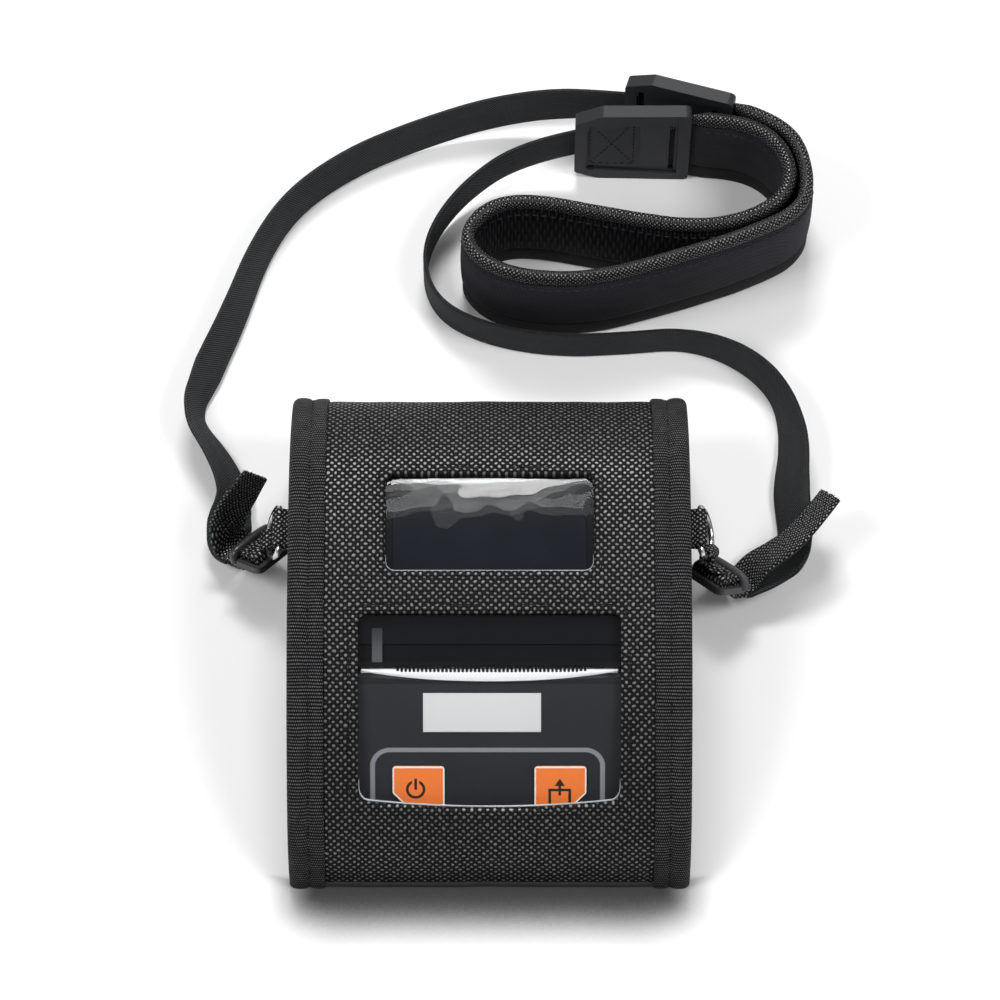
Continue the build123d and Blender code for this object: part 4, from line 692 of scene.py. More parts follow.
@dataclass
class Mesh:
    """Points, faces and cloth coordinates of one piece, in millimetres."""

    name: str
    points: list[Point] = field(default_factory=list)
    faces: list[tuple[int, ...]] = field(default_factory=list)
    cloth: list[Point] = field(default_factory=list)
    slots: list[int] = field(default_factory=list)

    def add(self, points: Iterable[Point], cloth: Iterable[Point]) -> int:
        """Add points with their cloth coordinates and return the first one's number."""
        start = len(self.points)
        self.points.extend(tuple(p) for p in points)
        self.cloth.extend(tuple(c) for c in cloth)
        return start

    def face(self, corners: Sequence[int], slot: int = 0) -> None:
        """Add one face."""
        self.faces.append(tuple(corners))
        self.slots.append(slot)

    def rings(
        self,
        rings: Sequence[Sequence[Point]],
        cloth: Sequence[Sequence[Point]],
        slots: Sequence[int] | None = None,
        loop: bool = False,
    ) -> None:
        """Skin a row of closed rings and close its two ends.

        Args:
            rings: The rings' points, as many in each.
            cloth: Their cloth coordinates.
            slots: The material of each strip round the ring.
            loop: Join the last ring to the first instead.
        """
        start = len(self.faces)
        size = len(rings[0])
        first = self.add((p for ring in rings for p in ring), (c for ring in cloth for c in ring))
        steps = len(rings) if loop else len(rings) - 1
        for i in range(steps):
            near = first + i * size
            far = first + ((i + 1) % len(rings)) * size
            for k in range(size):
                after = (k + 1) % size
                self.face((near + k, near + after, far + after, far + k), slots[k] if slots else 0)
        if not loop:
            last = first + (len(rings) - 1) * size
            self.face(tuple(first + k for k in reversed(range(size))))
            self.face(tuple(last + k for k in range(size)))
        self._face_out(start)

    def layers(self, rows: int, columns: int, spot: Callable[[int, int, int], Marked]) -> None:
        """Add two layers of a grid and the rim between them.

        Args:
            rows: Steps in the grid's first direction.
            columns: Steps in its second direction.
            spot: Gives the point and its cloth coordinates at a layer, a row and a column.
        """
        start = len(self.faces)
        width = columns + 1
        starts = []
        for layer in (0, 1):
            spots = [spot(layer, i, k) for i in range(rows + 1) for k in range(width)]
            starts.append(self.add((point for point, _ in spots), (cloth for _, cloth in spots)))
        near, far = starts
        for i in range(rows):
            for k in range(columns):
                corners = [i * width + k, i * width + k + 1, (i + 1) * width + k + 1, (i + 1) * width + k]
                self.face([near + corner for corner in corners])
                self.face([far + corner for corner in reversed(corners)])
        rim = list(range(columns))
        rim += [i * width + columns for i in range(rows)]
        rim += [rows * width + columns - k for k in range(columns)]
        rim += [(rows - i) * width for i in range(rows)]
        for a, b in zip(rim, rim[1:] + rim[:1]):
            self.face((near + b, near + a, far + a, far + b))
        self._face_out(start)

    def _face_out(self, start: int) -> None:
        """Turn the faces from a start on, where the closed surface that they make faces inward."""
        volume = 0.0
        for face in self.faces[start:]:
            first, *rest = (Vector(self.points[k]) for k in face)
            volume += sum(first.dot(a.cross(b)) for a, b in zip(rest, rest[1:]))
        if volume < 0:
            self.faces[start:] = [(face[0], *face[:0:-1]) for face in self.faces[start:]]

    def on(self, side: Side) -> "Mesh":
        """The piece as it is on the right, or its mirror image on the left."""
        if side is Side.RIGHT:
            return self
        flipped = [(-x, y, z) for x, y, z in self.points]
        cloth = [(-u, v, w) for u, v, w in self.cloth]
        return Mesh(self.name, flipped, [f[::-1] for f in self.faces], cloth, self.slots)

    def build(self, finishes: Sequence[Material], smooth: bool = True) -> Object:
        """Make the Blender object, in metres.

        Args:
            finishes: The materials, in the order of the face slots.
            smooth: Shade the faces smooth.

        Returns:
            The new object.
        """
        data = bpy.data.meshes.new(self.name)
        data.from_pydata([tuple(MM * c for c in p) for p in self.points], [], self.faces)
        spot = data.attributes.new(CLOTH, "FLOAT_VECTOR", "POINT")
        spot.data.foreach_set("vector", np.array(self.cloth, np.float32).ravel())
        for finish in finishes:
            data.materials.append(finish)
        data.polygons.foreach_set("material_index", self.slots)
        data.polygons.foreach_set("use_smooth", [smooth] * len(self.faces))
        data.update()
        made = bpy.data.objects.new(self.name, data)
        bpy.context.scene.collection.objects.link(made)
        return made


def place_piece(
    piece: Object, body: str, slot: str, replaces: Sequence[str] = (), sharp: float | None = None
) -> Object:
    """Ride a piece on its body and hide the nodes that it stands for.

    Args:
        piece: The object.
        body: The body that it moves with.
        slot: The name of its material slot; not used.
        replaces: The nodes that it stands for.
        sharp: Edges over this angle in degrees stay sharp.

    Returns:
        The same object.
    """
    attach(piece, body)
    if replaces:
        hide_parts(*replaces)
    if sharp is not None:
        crease(piece, sharp)
    LOG.info("%s on %s, %d faces", piece.name, body, len(piece.data.polygons))
    return piece


def place_swept(
    name: str,
    rings: Sequence[Sequence[Point]],
    cloth: Sequence[Sequence[Point]],
    finish: Material,
    *where: Any,
    side: Side = Side.RIGHT,
) -> Object:
    """Skin a row of rings, mirror it for the left side and place the piece.

    Args:
        name: The piece's name.
        rings: Its rings of points.
        cloth: Their cloth coordinates.
        finish: Its one material.
        where: What place_piece takes: body, slot, replaced nodes and angle.
        side: The side of the case.

    Returns:
        The piece.
    """
    mesh = Mesh(name)
    mesh.rings(rings, cloth)
    return place_piece(mesh.on(side).build([finish]), *where)


def crease(piece: Object, angle: float) -> None:
    """Mark edges sharper than an angle in degrees, so that smooth shading stops there."""
    piece.data.set_sharp_from_angle(angle=math.radians(angle))


def circle(centre: Vector, first: Vector, second: Vector, count: int) -> list[Point]:
    """Points round a centre, with a radius given in each of two directions."""
    turns = [math.tau * k / count for k in range(count)]
    return [tuple(centre + first * math.cos(turn) + second * math.sin(turn)) for turn in turns]


def girth(section: Sequence[Plan]) -> list[float]:
    """The length along a section at each of its points."""
    marks = [0.0]
    for a, b in zip(section, section[1:]):
        marks.append(marks[-1] + math.dist(a, b))
    return marks


def soft_waves(a: float, b: float) -> float:
    """Slow unevenness of cloth, about -1 to 1, the same each run."""
    return (
        math.sin(a * 0.11 + 1.3) * math.cos(b * 0.087 - 0.4)
        + 0.6 * math.sin(a * 0.23 - b * 0.19 + 2.1)
        + 0.4 * math.sin(a * 0.41 + b * 0.37 + 0.7)
    ) / 2.0


# The case's side profile


@dataclass
class Profile:
    """Side profile of the case in Y and Z: near arc, face arc, crest and far arc."""

    near_y: float = -77.0
    far_y: float = 77.0
    height: float = 60.5
    near_radius: float = 42.0
    near_centre_z: float = -4.0
    far_radius: float = 42.0
    crest_flat: float = 7.0
    foot: float = 0.3
    hinge_z: float = 30.0
    swell: float = 2.6
    swell_turn: float = -62.0
    swell_spread: float = 24.0

    def __post_init__(self) -> None:
        """Work out the arcs' centres, angles and lengths."""
        drop = math.sqrt(self.near_radius**2 - self.near_centre_z**2)
        self.near_centre = (self.near_y + drop, self.near_centre_z)
        self.far_centre = (self.far_y - self.far_radius, self.height - self.far_radius)
        crest_y = self.far_centre[0] - self.crest_flat
        reach = crest_y - self.near_centre[0]
        rise = self.height - self.near_centre[1]
        self.face_radius = (reach**2 + rise**2 - self.near_radius**2) / (2 * (rise - self.near_radius))
        self.face_centre = (crest_y, self.height - self.face_radius)
        self.join = math.asin(reach / (self.face_radius - self.near_radius))
        self.foot_turn = math.acos((self.foot - self.near_centre_z) / self.near_radius)
        self.hinge_turn = math.acos((self.hinge_z - self.far_centre[1]) / self.far_radius)
        self.lengths = [
            self.near_radius * (self.foot_turn - self.join),
            self.face_radius * self.join,
            self.crest_flat,
            self.far_radius * self.hinge_turn,
        ]
        self.length = sum(self.lengths)
        self.table = np.linspace(0, self.length, 1600)
        self.table_y = np.array([self.at(s, 0.8)[0] for s in self.table])

    def at(self, s: float, inset: float = 0.0) -> tuple[float, float]:
        """A point of the profile.

        Args:
            s: Length along the outside from the near foot.
            inset: How far inside the outline.

        Returns:
            Its Y and Z.
        """
        a, b, c, _ = self.lengths
        if s < a:
            centre, radius, turn = self.near_centre, self.near_radius, self.foot_turn - s / self.near_radius
        elif s < a + b:
            centre, radius = self.face_centre, self.face_radius
            turn = self.join - (s - a) / self.face_radius
        elif s < a + b + c:
            return (self.face_centre[0] + s - a - b, self.height - inset)
        else:
            centre = self.far_centre
            turn = -(s - a - b - c) / self.far_radius
            off = (math.degrees(turn) - self.swell_turn) / self.swell_spread
            radius = self.far_radius + self.swell * math.exp(-(off**2))
        radius -= inset
        return (centre[0] - radius * math.sin(turn), centre[1] + radius * math.cos(turn))

    def along(self, y: float) -> float:
        """The length along the outside at a Y."""
        return float(np.interp(y, self.table_y, self.table))

    def near_wall(self, z: float, inset: float) -> float:
        """Y of the near arc at a Z, drawn in by an inset."""
        middle_y, middle_z = self.near_centre
        return middle_y - math.sqrt((self.near_radius - inset) ** 2 - (z - middle_z) ** 2)


PROFILE = Profile()


@dataclass(frozen=True)
class Window:
    """A film window in plan."""

    half: float
    near: float
    far: float
    middle: float
    radius: float = 3.0

    def loop(self, grow: float = 0.0, spacing: float = 1.5) -> list[Plan]:
        """The window's outline.

        Args:
            grow: How far it is grown all round.
            spacing: The gap between its points.

        Returns:
            Its points in X and Y.
        """
        half = self.half + grow
        near = self.near - grow
        far = self.far + grow
        bow = self.middle - self.near
        radius = max(0.6, self.radius + grow)
        corners = [(half, far, 0), (-half, far, 90), (-half, near, 180), (half, near, 270)]
        points: list[Plan] = []
        for x, y, start in corners:
            cx = x - math.copysign(radius, x)
            cy = y + (radius if start >= 180 else -radius)
            steps = max(4, round(radius * math.pi / 2 / spacing))
            for k in range(steps + 1):
                turn = math.radians(start + 90 * k / steps)
                points.append((cx + radius * math.cos(turn), cy + radius * math.sin(turn)))
        full: list[Plan] = []
        for i, point in enumerate(points):
            after = points[(i + 1) % len(points)]
            gap = math.dist(point, after)
            count = max(1, round(gap / spacing))
            full.extend(
                (point[0] + (after[0] - point[0]) * k / count, point[1] + (after[1] - point[1]) * k / count)
                for k in range(count)
            )
        span = far - near
        return [
            (x, y + bow * (1 - (x / half) ** 2) * max(0.0, min(1.0, (far - y) / span))) for x, y in full
        ]


UPPER = Window(32.5, 6.3, 38.5, 6.3)
LOWER = Window(40.7, -59.4, -7.1, -61.3)


def loop_distance(loop: Sequence[Plan], points: np.ndarray) -> np.ndarray:
    """Distance of points from a closed outline.

    Args:
        loop: The outline.
        points: The points, one a row.

    Returns:
        The distances, less than 0 inside.
    """
    a = np.array(loop)
    b = np.roll(a, -1, axis=0)
    best = np.full(len(points), 1e9)
    inside = np.zeros(len(points), bool)
    for p, q in zip(a, b):
        d = q - p
        t = np.clip(((points - p) @ d) / max(d @ d, 1e-12), 0, 1)
        best = np.minimum(best, np.linalg.norm(points - (p + t[:, None] * d), axis=1))
        crosses = (p[1] > points[:, 1]) != (q[1] > points[:, 1])
        with np.errstate(divide="ignore", invalid="ignore"):
            x = (q[0] - p[0]) * (points[:, 1] - p[1]) / (q[1] - p[1]) + p[0]
        inside ^= crosses & (points[:, 0] < x)
    return np.where(inside, -best, best)


# Stitches


@dataclass
class Seam:
    """A row of stitches along a line of points and outward normals."""

    name: str
    pitch: float = 2.7
    length: float = 2.0
    radius: float = 0.24
    sink: float = 0.05
    bar: tuple[Point, ...] = (
        (0, 0.45, -0.3), (0.14, 0.85, -0.05), (0.5, 1.0, 0.1), (0.86, 0.85, -0.05), (1, 0.45, -0.3)
    )

    def build(self, lines: Sequence[Sequence[Spot]], finish: Material) -> Object:
        """Lay one stitch at each pitch.

        Args:
            lines: Rows of points with their outward normals.
            finish: The thread.

        Returns:
            The object.
        """
        mesh = Mesh(self.name)
        for line in lines:
            self._lay(mesh, line)
        return mesh.build([finish])

    def _lay(self, mesh: Mesh, line: Sequence[Spot]) -> None:
        """Add one line's stitches."""
        ends = [0.0]
        for (p, _), (q, _) in zip(line, line[1:]):
            ends.append(ends[-1] + (q - p).length)
        count = max(1, int(ends[-1] / self.pitch))
        for k in range(count):
            centre_s = (k + 0.5) * ends[-1] / count
            low = self._at(line, ends, centre_s - self.length / 2)
            high = self._at(line, ends, centre_s + self.length / 2)
            self._stitch(mesh, low, high)

    @staticmethod
    def _at(line: Sequence[Spot], ends: Sequence[float], s: float) -> Spot:
        """Point and normal at a length along a line."""
        i = min(max(int(np.searchsorted(ends, s)) - 1, 0), len(line) - 2)
        share = (s - ends[i]) / max(ends[i + 1] - ends[i], 1e-9)
        return line[i][0].lerp(line[i + 1][0], share), line[i][1].lerp(line[i + 1][1], share).normalized()

    def _stitch(self, mesh: Mesh, low: Spot, high: Spot) -> None:
        """One stitch, a rounded bar that dives in at both ends."""
        up = (low[1] + high[1]).normalized()
        along = (high[0] - low[0]).normalized()
        side = along.cross(up).normalized()
        rings, cloth = [], []
        for share, thick, rise in self.bar:
            centre = low[0].lerp(high[0], share) + up * (rise - self.sink)
            size = self.radius * thick
            rings.append(circle(centre, side * size, up * size, 6))
            cloth.append([(self.radius * math.tau * k / 6, share * self.length, 0.0) for k in range(6)])
        mesh.rings(rings, cloth)


# Finishes that several pieces share


@dataclass
class Finishes:
    """Every material of the object, made once."""

    def __post_init__(self) -> None:
        """Build the materials."""
        self.nylon = BasketWeave("case_nylon").make()
        self.side_nylon = BasketWeave("side_nylon", yarn=0.9, relief=0.00025, bead_highlight=0.4).make()
        self.tape = RibbedTape("binding_tape").make()
        self.hem = TwillWeb("hem_tape", pitch=0.45, roughness=0.55, relief=0.00006).make()
        self.web = TwillWeb("strap_webbing").make()
        self.coarse = BasketWeave("tail_webbing", yarn=0.82, roughness=0.4, relief=0.0004, bead_highlight=0.5).make()
        self.pad_panel = TwillWeb(
            "pad_panel", pitch=0.95, slant=1.0, dark=(0.004, 0.004, 0.006), light=(0.045, 0.045, 0.055)
        ).make()
        self.pad_back = RibbedTape("pad_backing", rib=1.3, dot=9.0, light=(0.035, 0.035, 0.045)).make()
        self.pad_band = TwillWeb(
            "pad_band", pitch=0.5, relief=0.00005, dark=(0.008, 0.008, 0.009), light=(0.03, 0.03, 0.032)
        ).make()
        self.pad_edge = BasketWeave("pad_edge_tape", yarn=0.72, relief=0.0002, bead_highlight=0.2, roughness=0.5).make()
        self.patch = Moulded("patch_cloth", (0.022, 0.023, 0.026), 0.6, grain=0.00004).make()
        self.thread = Thread("black_thread").make()
        self.pad_thread = Thread("pad_thread", (0.013, 0.013, 0.014)).make()
        self.pile = PileTape("fastener_pile").make()
        self.vinyl = ClearVinyl("clear_vinyl").make()
        self.moulded = Moulded("strap_fittings", (0.019, 0.02, 0.023), 0.5, grain=0.00001).make()
        # Near-black finish for the webbing inside the fittings, darker than the strap's webbing: painted
        # shade of the slots.
        self.slot_painted_shade = Moulded("fitting_slot_painted_shade", (0.003, 0.003, 0.003), 0.7, grain=0.00001).make()
        self.slider_black = Moulded(
            "slider_black", (0.026, 0.026, 0.028), 0.3, grain=0.00001, shine=0.5
        ).make()
        # The right bow's lighter grey is a lit copy of the same black slider plastic: painted light.
        self.slider_lit_grey = Moulded("slider_lit_grey", (0.055, 0.056, 0.06), 0.42, grain=0.00001).make()
        self.housing = Moulded(
            "housing_plastic", (0.016, 0.0175, 0.021), 0.48, grain=0.000008, shine=0.15
        ).make()
        self.lid = LidPlastic("lid_plastic").make()
        self.base = Moulded("base_plastic", (0.004, 0.004, 0.005), 0.55, grain=0.00001, shine=0.08).make()
        self.bush = Moulded("bush_plastic", (0.02, 0.02, 0.02), 0.4).make()
        self.gear = Moulded("gear_plastic", (0.66, 0.63, 0.55), 0.45).make()
        self.battery = Moulded("battery_sleeve", (0.012, 0.014, 0.03), 0.35).make()
        self.rubber = Moulded("platen_rubber", (0.015, 0.015, 0.015), 0.75, grain=0.00005).make()
        self.ceramic = Gloss("head_ceramic", (0.7, 0.7, 0.66), 0.2).make()
        self.smoke = Gloss("smoked_pane", (0.007, 0.009, 0.013), 0.09, coat=0.0).make()
        self.plate = Moulded("plate_silver", (0.67, 0.67, 0.67), 0.4, grain=0.000004, blotch=0.02).make()
        self.panel = PrintedPanel("panel_print").make()
        self.power = OrangeKey("power_key_print", Side.LEFT).make()
        self.feed = OrangeKey("feed_key_print", Side.RIGHT).make()
        self.chrome = Metal("ring_chrome", (0.72, 0.72, 0.74), 0.14, (1.0, 1.0, 1.0)).make()
        self.steel = Metal("plain_steel").make()
        self.aluminium = Metal("sink_aluminium", (0.66, 0.67, 0.68), 0.34).make()
        self.board = CircuitBoard("board_mask").make()
        self.paper = Paper("thermal_paper").make()
        self.roll = Paper("wound_paper", wound=True).make()
        self.card = Card("core_board").make()


@dataclass
class Printer:
    """The printer's own rigid nodes in their finishes, the torn slip of paper and the tear bar's teeth."""

    finishes: Finishes
    slip_left: float = -39.5
    slip_width: float = 79.2
    slip_far: float = -22.45
    slip_near: float = -25.95
    slip_scoop: float = 2.75
    slip_thick: float = 0.1
    slip_profile: tuple[Plan, ...] = ((0.0, 46.85), (0.35, 46.93), (0.62, 46.62), (0.85, 46.1), (1.0, 45.72))
    teeth: int = 47
    tooth_first: float = -28.4
    tooth_pitch: float = 1.26
    tooth_ends: tuple[tuple[float, ...], ...] = ((0.42, -21.8, 47.1, 47.55), (0.36, -23.45, 47.05, 47.2))

    def dress(self) -> None:
        """Give each rigid node its finish and smooth its round faces."""
        f = self.finishes
        table = {
            f.housing: ("upper_housing", "release_button"),
            f.lid: ("paper_lid",),
            f.base: ("base_shell", "battery_cover", "tear_bar"),
            f.panel: ("panel_overlay",),
            f.plate: ("name_plate",),
            f.power: ("power_button",),
            f.feed: ("feed_button",),
            f.smoke: ("lid_window",),
            f.steel: (
                "housing_screws", "lid_hinge_pin", "platen_shaft", "motor", "motor_pinion",
                "gear_plate", "head_pivot_pin", "head_bracket", "head_springs",
            ),
            f.board: ("main_board",),
            f.bush: ("key_switches", "platen_bushes"),
            f.battery: ("battery_pack",),
            f.rubber: ("platen_roller",),
            f.gear: ("platen_gear", "idler_gear"),
            f.ceramic: ("print_head",),
            f.aluminium: ("head_heat_sink",),
            f.roll: ("paper_roll",),
            f.card: ("paper_core",),
            f.paper: ("paper_web",),
            f.chrome: ("d_ring_left", "d_ring_right"),
            f.moulded: ("pad_fitting_far", "pad_fitting_near"),
            f.slider_black: ("slider_left", "slider_right"),
        }
        for finish, names in table.items():
            for name in names:
                self._paint(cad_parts[name], finish)

    def slip(self) -> None:
        """Torn end of the paper, over the exit's scooped lip."""
        columns = 60

        def spot(layer: int, i: int, k: int) -> Marked:
            """A point across and along the slip."""
            x = self.slip_left + self.slip_width * (1 - i / columns)
            near = self.slip_near + self.slip_scoop * abs(2 * x / self.slip_width) ** 2.2
            share, z = self.slip_profile[k]
            y = self.slip_far + (near - self.slip_far) * share
            lift = self.slip_thick * (1 - layer)
            return (x, y, z + 0.5 * (near - self.slip_near) * share + lift), (x, y, lift)

        mesh = Mesh("paper_slip")
        mesh.layers(columns, len(self.slip_profile) - 1, spot)
        place_piece(mesh.build([self.finishes.paper]), "case", "paper_white", sharp=50)

    def tear_teeth(self) -> None:
        """The small teeth along the tear bar."""
        mesh = Mesh("tear_teeth")
        for k in range(self.teeth):
            x = self.tooth_first + self.tooth_pitch * k
            ends = []
            for half, y, low, high in self.tooth_ends:
                left, right = x - half, x + half
                ends.append([(left, y, low), (right, y, low), (right, y, high), (left, y, high)])
            mesh.rings(ends, [[(0.0, 0.0, 0.0)] * 4, [(0.0, 1.0, 0.0)] * 4])
        place_piece(mesh.build([self.finishes.base], smooth=False), "lid", "base_black")

    @staticmethod
    def _paint(node: Object, finish: Material) -> None:
        """Put one finish on a node."""
        node.data.materials.clear()
        node.data.materials.append(finish)
        node.data.polygons.foreach_set("use_smooth", [True] * len(node.data.polygons))
        crease(node, 32)
        LOG.info("%s wears %s", node.name, finish.name)


@dataclass
class Flap:
    """Wrap-around flap: nylon panel with two windows, bindings, hem and films."""

    finishes: Finishes
    edge: float = 61.2
    skin_out: float = 0.8
    skin_in: float = 2.78
    grid: float = 2.1
    binding_x: float = 51.5
    stitch_x: float = 56.2
    seam_reach: float = 2.7
    film_seam: float = 5.6
    film_in: float = 2.88
    film_thick: float = 0.3
    rim_in: float = 2.45

    def build(self) -> None:
        """Make every piece of the flap."""
        self._panel()
        for side in Side:
            self._binding(side)
        self._hem()
        self._film("window_film_upper", UPPER, 0.9)
        self._film("window_film_lower", LOWER, 0.25)
        self._fold_glint_line("upper_film_edge", UPPER, 0.17)
        self._fold_glint_line("lower_film_edge", LOWER, 0.3)
        self._stitches()
        self._hook_tape()

    def _inset(self, x: np.ndarray, s: np.ndarray, distance: np.ndarray) -> np.ndarray:
        """How far the nylon's face lies under the case's outline."""
        groove = 0.3 * np.exp(-(((distance - self.seam_reach) / 0.6) ** 2))
        lip = 0.75 * np.clip(1 - distance / 1.0, 0, 1) ** 2
        puff = -0.22 * np.exp(-(((distance - 1.3) / 0.7) ** 2))
        tuck = 0.25 * np.clip((np.abs(x) - self.binding_x + 1.2) / 1.2, 0, 1)
        waves = np.array([0.16 * soft_waves(a, b) for a, b in zip(x, s)])
        return self.skin_out + groove + lip + puff + tuck + waves

    def _panel(self) -> None:
        """Nylon panel with its two windows cut out and their edges turned in."""
        low = PROFILE.foot + 1.0
        length = PROFILE.length
        plan: list[Plan] = []
        edges: list[tuple[int, int]] = []

        def ring(points: Sequence[Plan]) -> None:
            """Add a closed row of points and its edges."""
            start = len(plan)
            plan.extend(points)
            count = len(points)
            edges.extend((start + k, start + (k + 1) % count) for k in range(count))

        def to_cloth(points: Sequence[Plan]) -> list[Plan]:
            """X and Y to X and length along the profile."""
            return [(x, PROFILE.along(y)) for x, y in points]

        columns = int(2 * self.edge / self.grid)
        rows = int((length - low) / self.grid)
        border = [(-self.edge + 2 * self.edge * k / columns, low) for k in range(columns)]
        border += [(self.edge, low + (length - low) * k / rows) for k in range(rows)]
        border += [(self.edge - 2 * self.edge * k / columns, length) for k in range(columns)]
        border += [(-self.edge, length - (length - low) * k / rows) for k in range(rows)]
        ring(border)
        cuts = []
        for window in (UPPER, LOWER):
            for grow, spacing in ((0.0, 0.9), (0.35, 1.0), (0.9, 1.2), (1.8, 1.4), (2.7, 1.4), (3.6, 1.6)):
                ring(to_cloth(window.loop(grow, spacing)))
            cuts.append(to_cloth(window.loop(0.0, 0.9)))
        xs = np.linspace(-self.edge, self.edge, columns + 1)[1:-1]
        ss = np.linspace(low, length, rows + 1)[1:-1]
        inner = np.array([(x, s) for s in ss for x in xs])
        keep = np.ones(len(inner), bool)
        for cut in cuts:
            keep &= loop_distance(cut, inner) > 4.4
        plan.extend(map(tuple, inner[keep]))
        made = delaunay_2d_cdt([Vector(p) for p in plan], edges, [], 0, 1e-6)
        flat = np.array([tuple(p) for p in made[0]])
        faces = [tuple(f) for f in made[2]]
        centres = np.array([flat[list(f)].mean(0) for f in faces])
        hole = np.zeros(len(faces), bool)
        for cut in cuts:
            hole |= loop_distance(cut, centres) < 0
        faces = [f for f, gone in zip(faces, hole) if not gone]
        distance = np.min([loop_distance(cut, flat) for cut in cuts], axis=0)
        insets = self._inset(flat[:, 0], flat[:, 1], np.maximum(distance, 0))
        mesh = Mesh("flap_face")
        outer = [(x, *PROFILE.at(s, n)) for (x, s), n in zip(flat, insets)]
        inside = [(x, *PROFILE.at(s, self.skin_in)) for x, s in flat]
        mesh.add(outer, [(x, s, 0.0) for x, s in flat])
        count = len(flat)
        mesh.add(inside, [(x, s, 9.0) for x, s in flat])
        sides: dict[tuple[int, int], int] = {}
        for f in faces:
            mesh.face(f)
            mesh.face(tuple(count + k for k in reversed(f)))
            for a, b in zip(f, f[1:] + f[:1]):
                sides[(a, b)] = sides.get((a, b), 0) + 1
        for a, b in sides:
            if (b, a) not in sides:
                mesh.face((b, a, count + a, count + b))
        piece = mesh.build([self.finishes.nylon])
        place_piece(piece, "flap", "nylon", ["flap_panel"], 50)

    def _binding(self, side: Side) -> None:
        """Tape folded round one side edge, puffed outside its stitch line."""
        outside = [(51.35, 0.78), (51.38, 0.2), (51.8, -0.12), (52.8, -0.2), (54.4, -0.18), (55.5, 0.0)]
        outside += [(56.0, 0.34), (56.3, 0.4), (56.7, 0.2), (57.5, -0.25), (58.8, -0.45), (60.2, -0.42)]
        outside += [(61.4, -0.15), (62.25, 0.45), (62.7, 1.3), (62.7, 2.3), (62.3, 3.1)]
        inside = [(61.4, 3.55), (58.0, 3.6), (55.1, 3.55), (55.0, 2.95), (58.0, 2.85), (61.25, 2.85)]
        section = [*outside, *inside, (61.3, 0.78)]
        marks = girth(section)
        steps = round(PROFILE.length / 1.6)
        rings, cloth = [], []
        for i in range(steps + 1):
            s = PROFILE.length * i / steps
            ring = []
            for k, (x, n) in enumerate(section):
                wobble = 0.12 * soft_waves(x * 2.0 + 40, s * 1.4) if 1 <= k < len(outside) else 0.0
                edge = 0.16 * soft_waves(s * 1.7, 9.0 + 4 * side.value) if k <= 3 else 0.0
                y, z = PROFILE.at(s, n + wobble)
                ring.append((x + edge, y, max(z, 0.05)))
            rings.append(ring)
            cloth.append([(mark, s, 0.0) for mark in marks])
        where = ("flap", "binding", [f"flap_binding_{side.word}"], 60)
        place_swept(f"flap_tape_{side.word}", rings, cloth, self.finishes.tape, *where, side=side)

    def _hem(self) -> None:
        """Smooth tape folded under the near edge."""
        section = [(2.5, 0.72), (2.2, 0.1), (1.4, -0.1), (0.6, 0.05), (0.12, 0.7), (0.02, 1.8), (0.12, 2.9)]
        section += [(0.5, 3.4), (1.8, 3.5), (2.3, 3.2), (2.3, 2.85), (1.1, 2.82), (1.0, 1.8), (1.1, 0.78)]
        rings, cloth = [], []
        half = self.binding_x + 0.1
        steps = 60
        for i in range(steps + 1):
            x = -half + 2 * half * i / steps
            ring = []
            for k, (s, n) in enumerate(section):
                y, z = PROFILE.at(s, n + (0.1 * soft_waves(x, 3.0) if k < 5 else 0.0))
                ring.append((x, y, z))
            rings.append(ring)
            cloth.append([(x, 1.4 * k, 0.0) for k in range(len(section))])
        place_swept("flap_hem_tape", rings, cloth, self.finishes.hem, "flap", "hem", ["flap_hem"], 60)

    def _film(self, name: str, window: Window, swell: float) -> None:
        """Clear sheet sewn behind a window.

        Args:
            name: The film's node, which the sheet stands for.
            window: The window that it fills.
            swell: How far its slack middle stands out of its seam's level.
        """
        half = window.half + self.film_seam
        low = PROFILE.along(window.middle - self.film_seam)
        high = PROFILE.along(window.far + self.film_seam)
        rows, columns = 46, 60

        def spot(layer: int, i: int, k: int) -> Marked:
            """A point along and across the film."""
            s = low + (high - low) * i / rows
            x = -half + 2 * half * k / columns
            belly = max(0.0, 1 - (x / window.half) ** 2) * math.sin(math.pi * (s - low) / (high - low))
            base = self.film_thick * layer
            n = self.film_in + base + (0.14 * soft_waves(x * 1.3, s * 1.1) - swell) * belly
            return (x, *PROFILE.at(s, n)), (x, s, base)

        mesh = Mesh(f"{name}_sheet")
        mesh.layers(rows, columns, spot)
        piece = place_piece(mesh.build([self.finishes.vinyl]), "flap", "clear_film", [name])

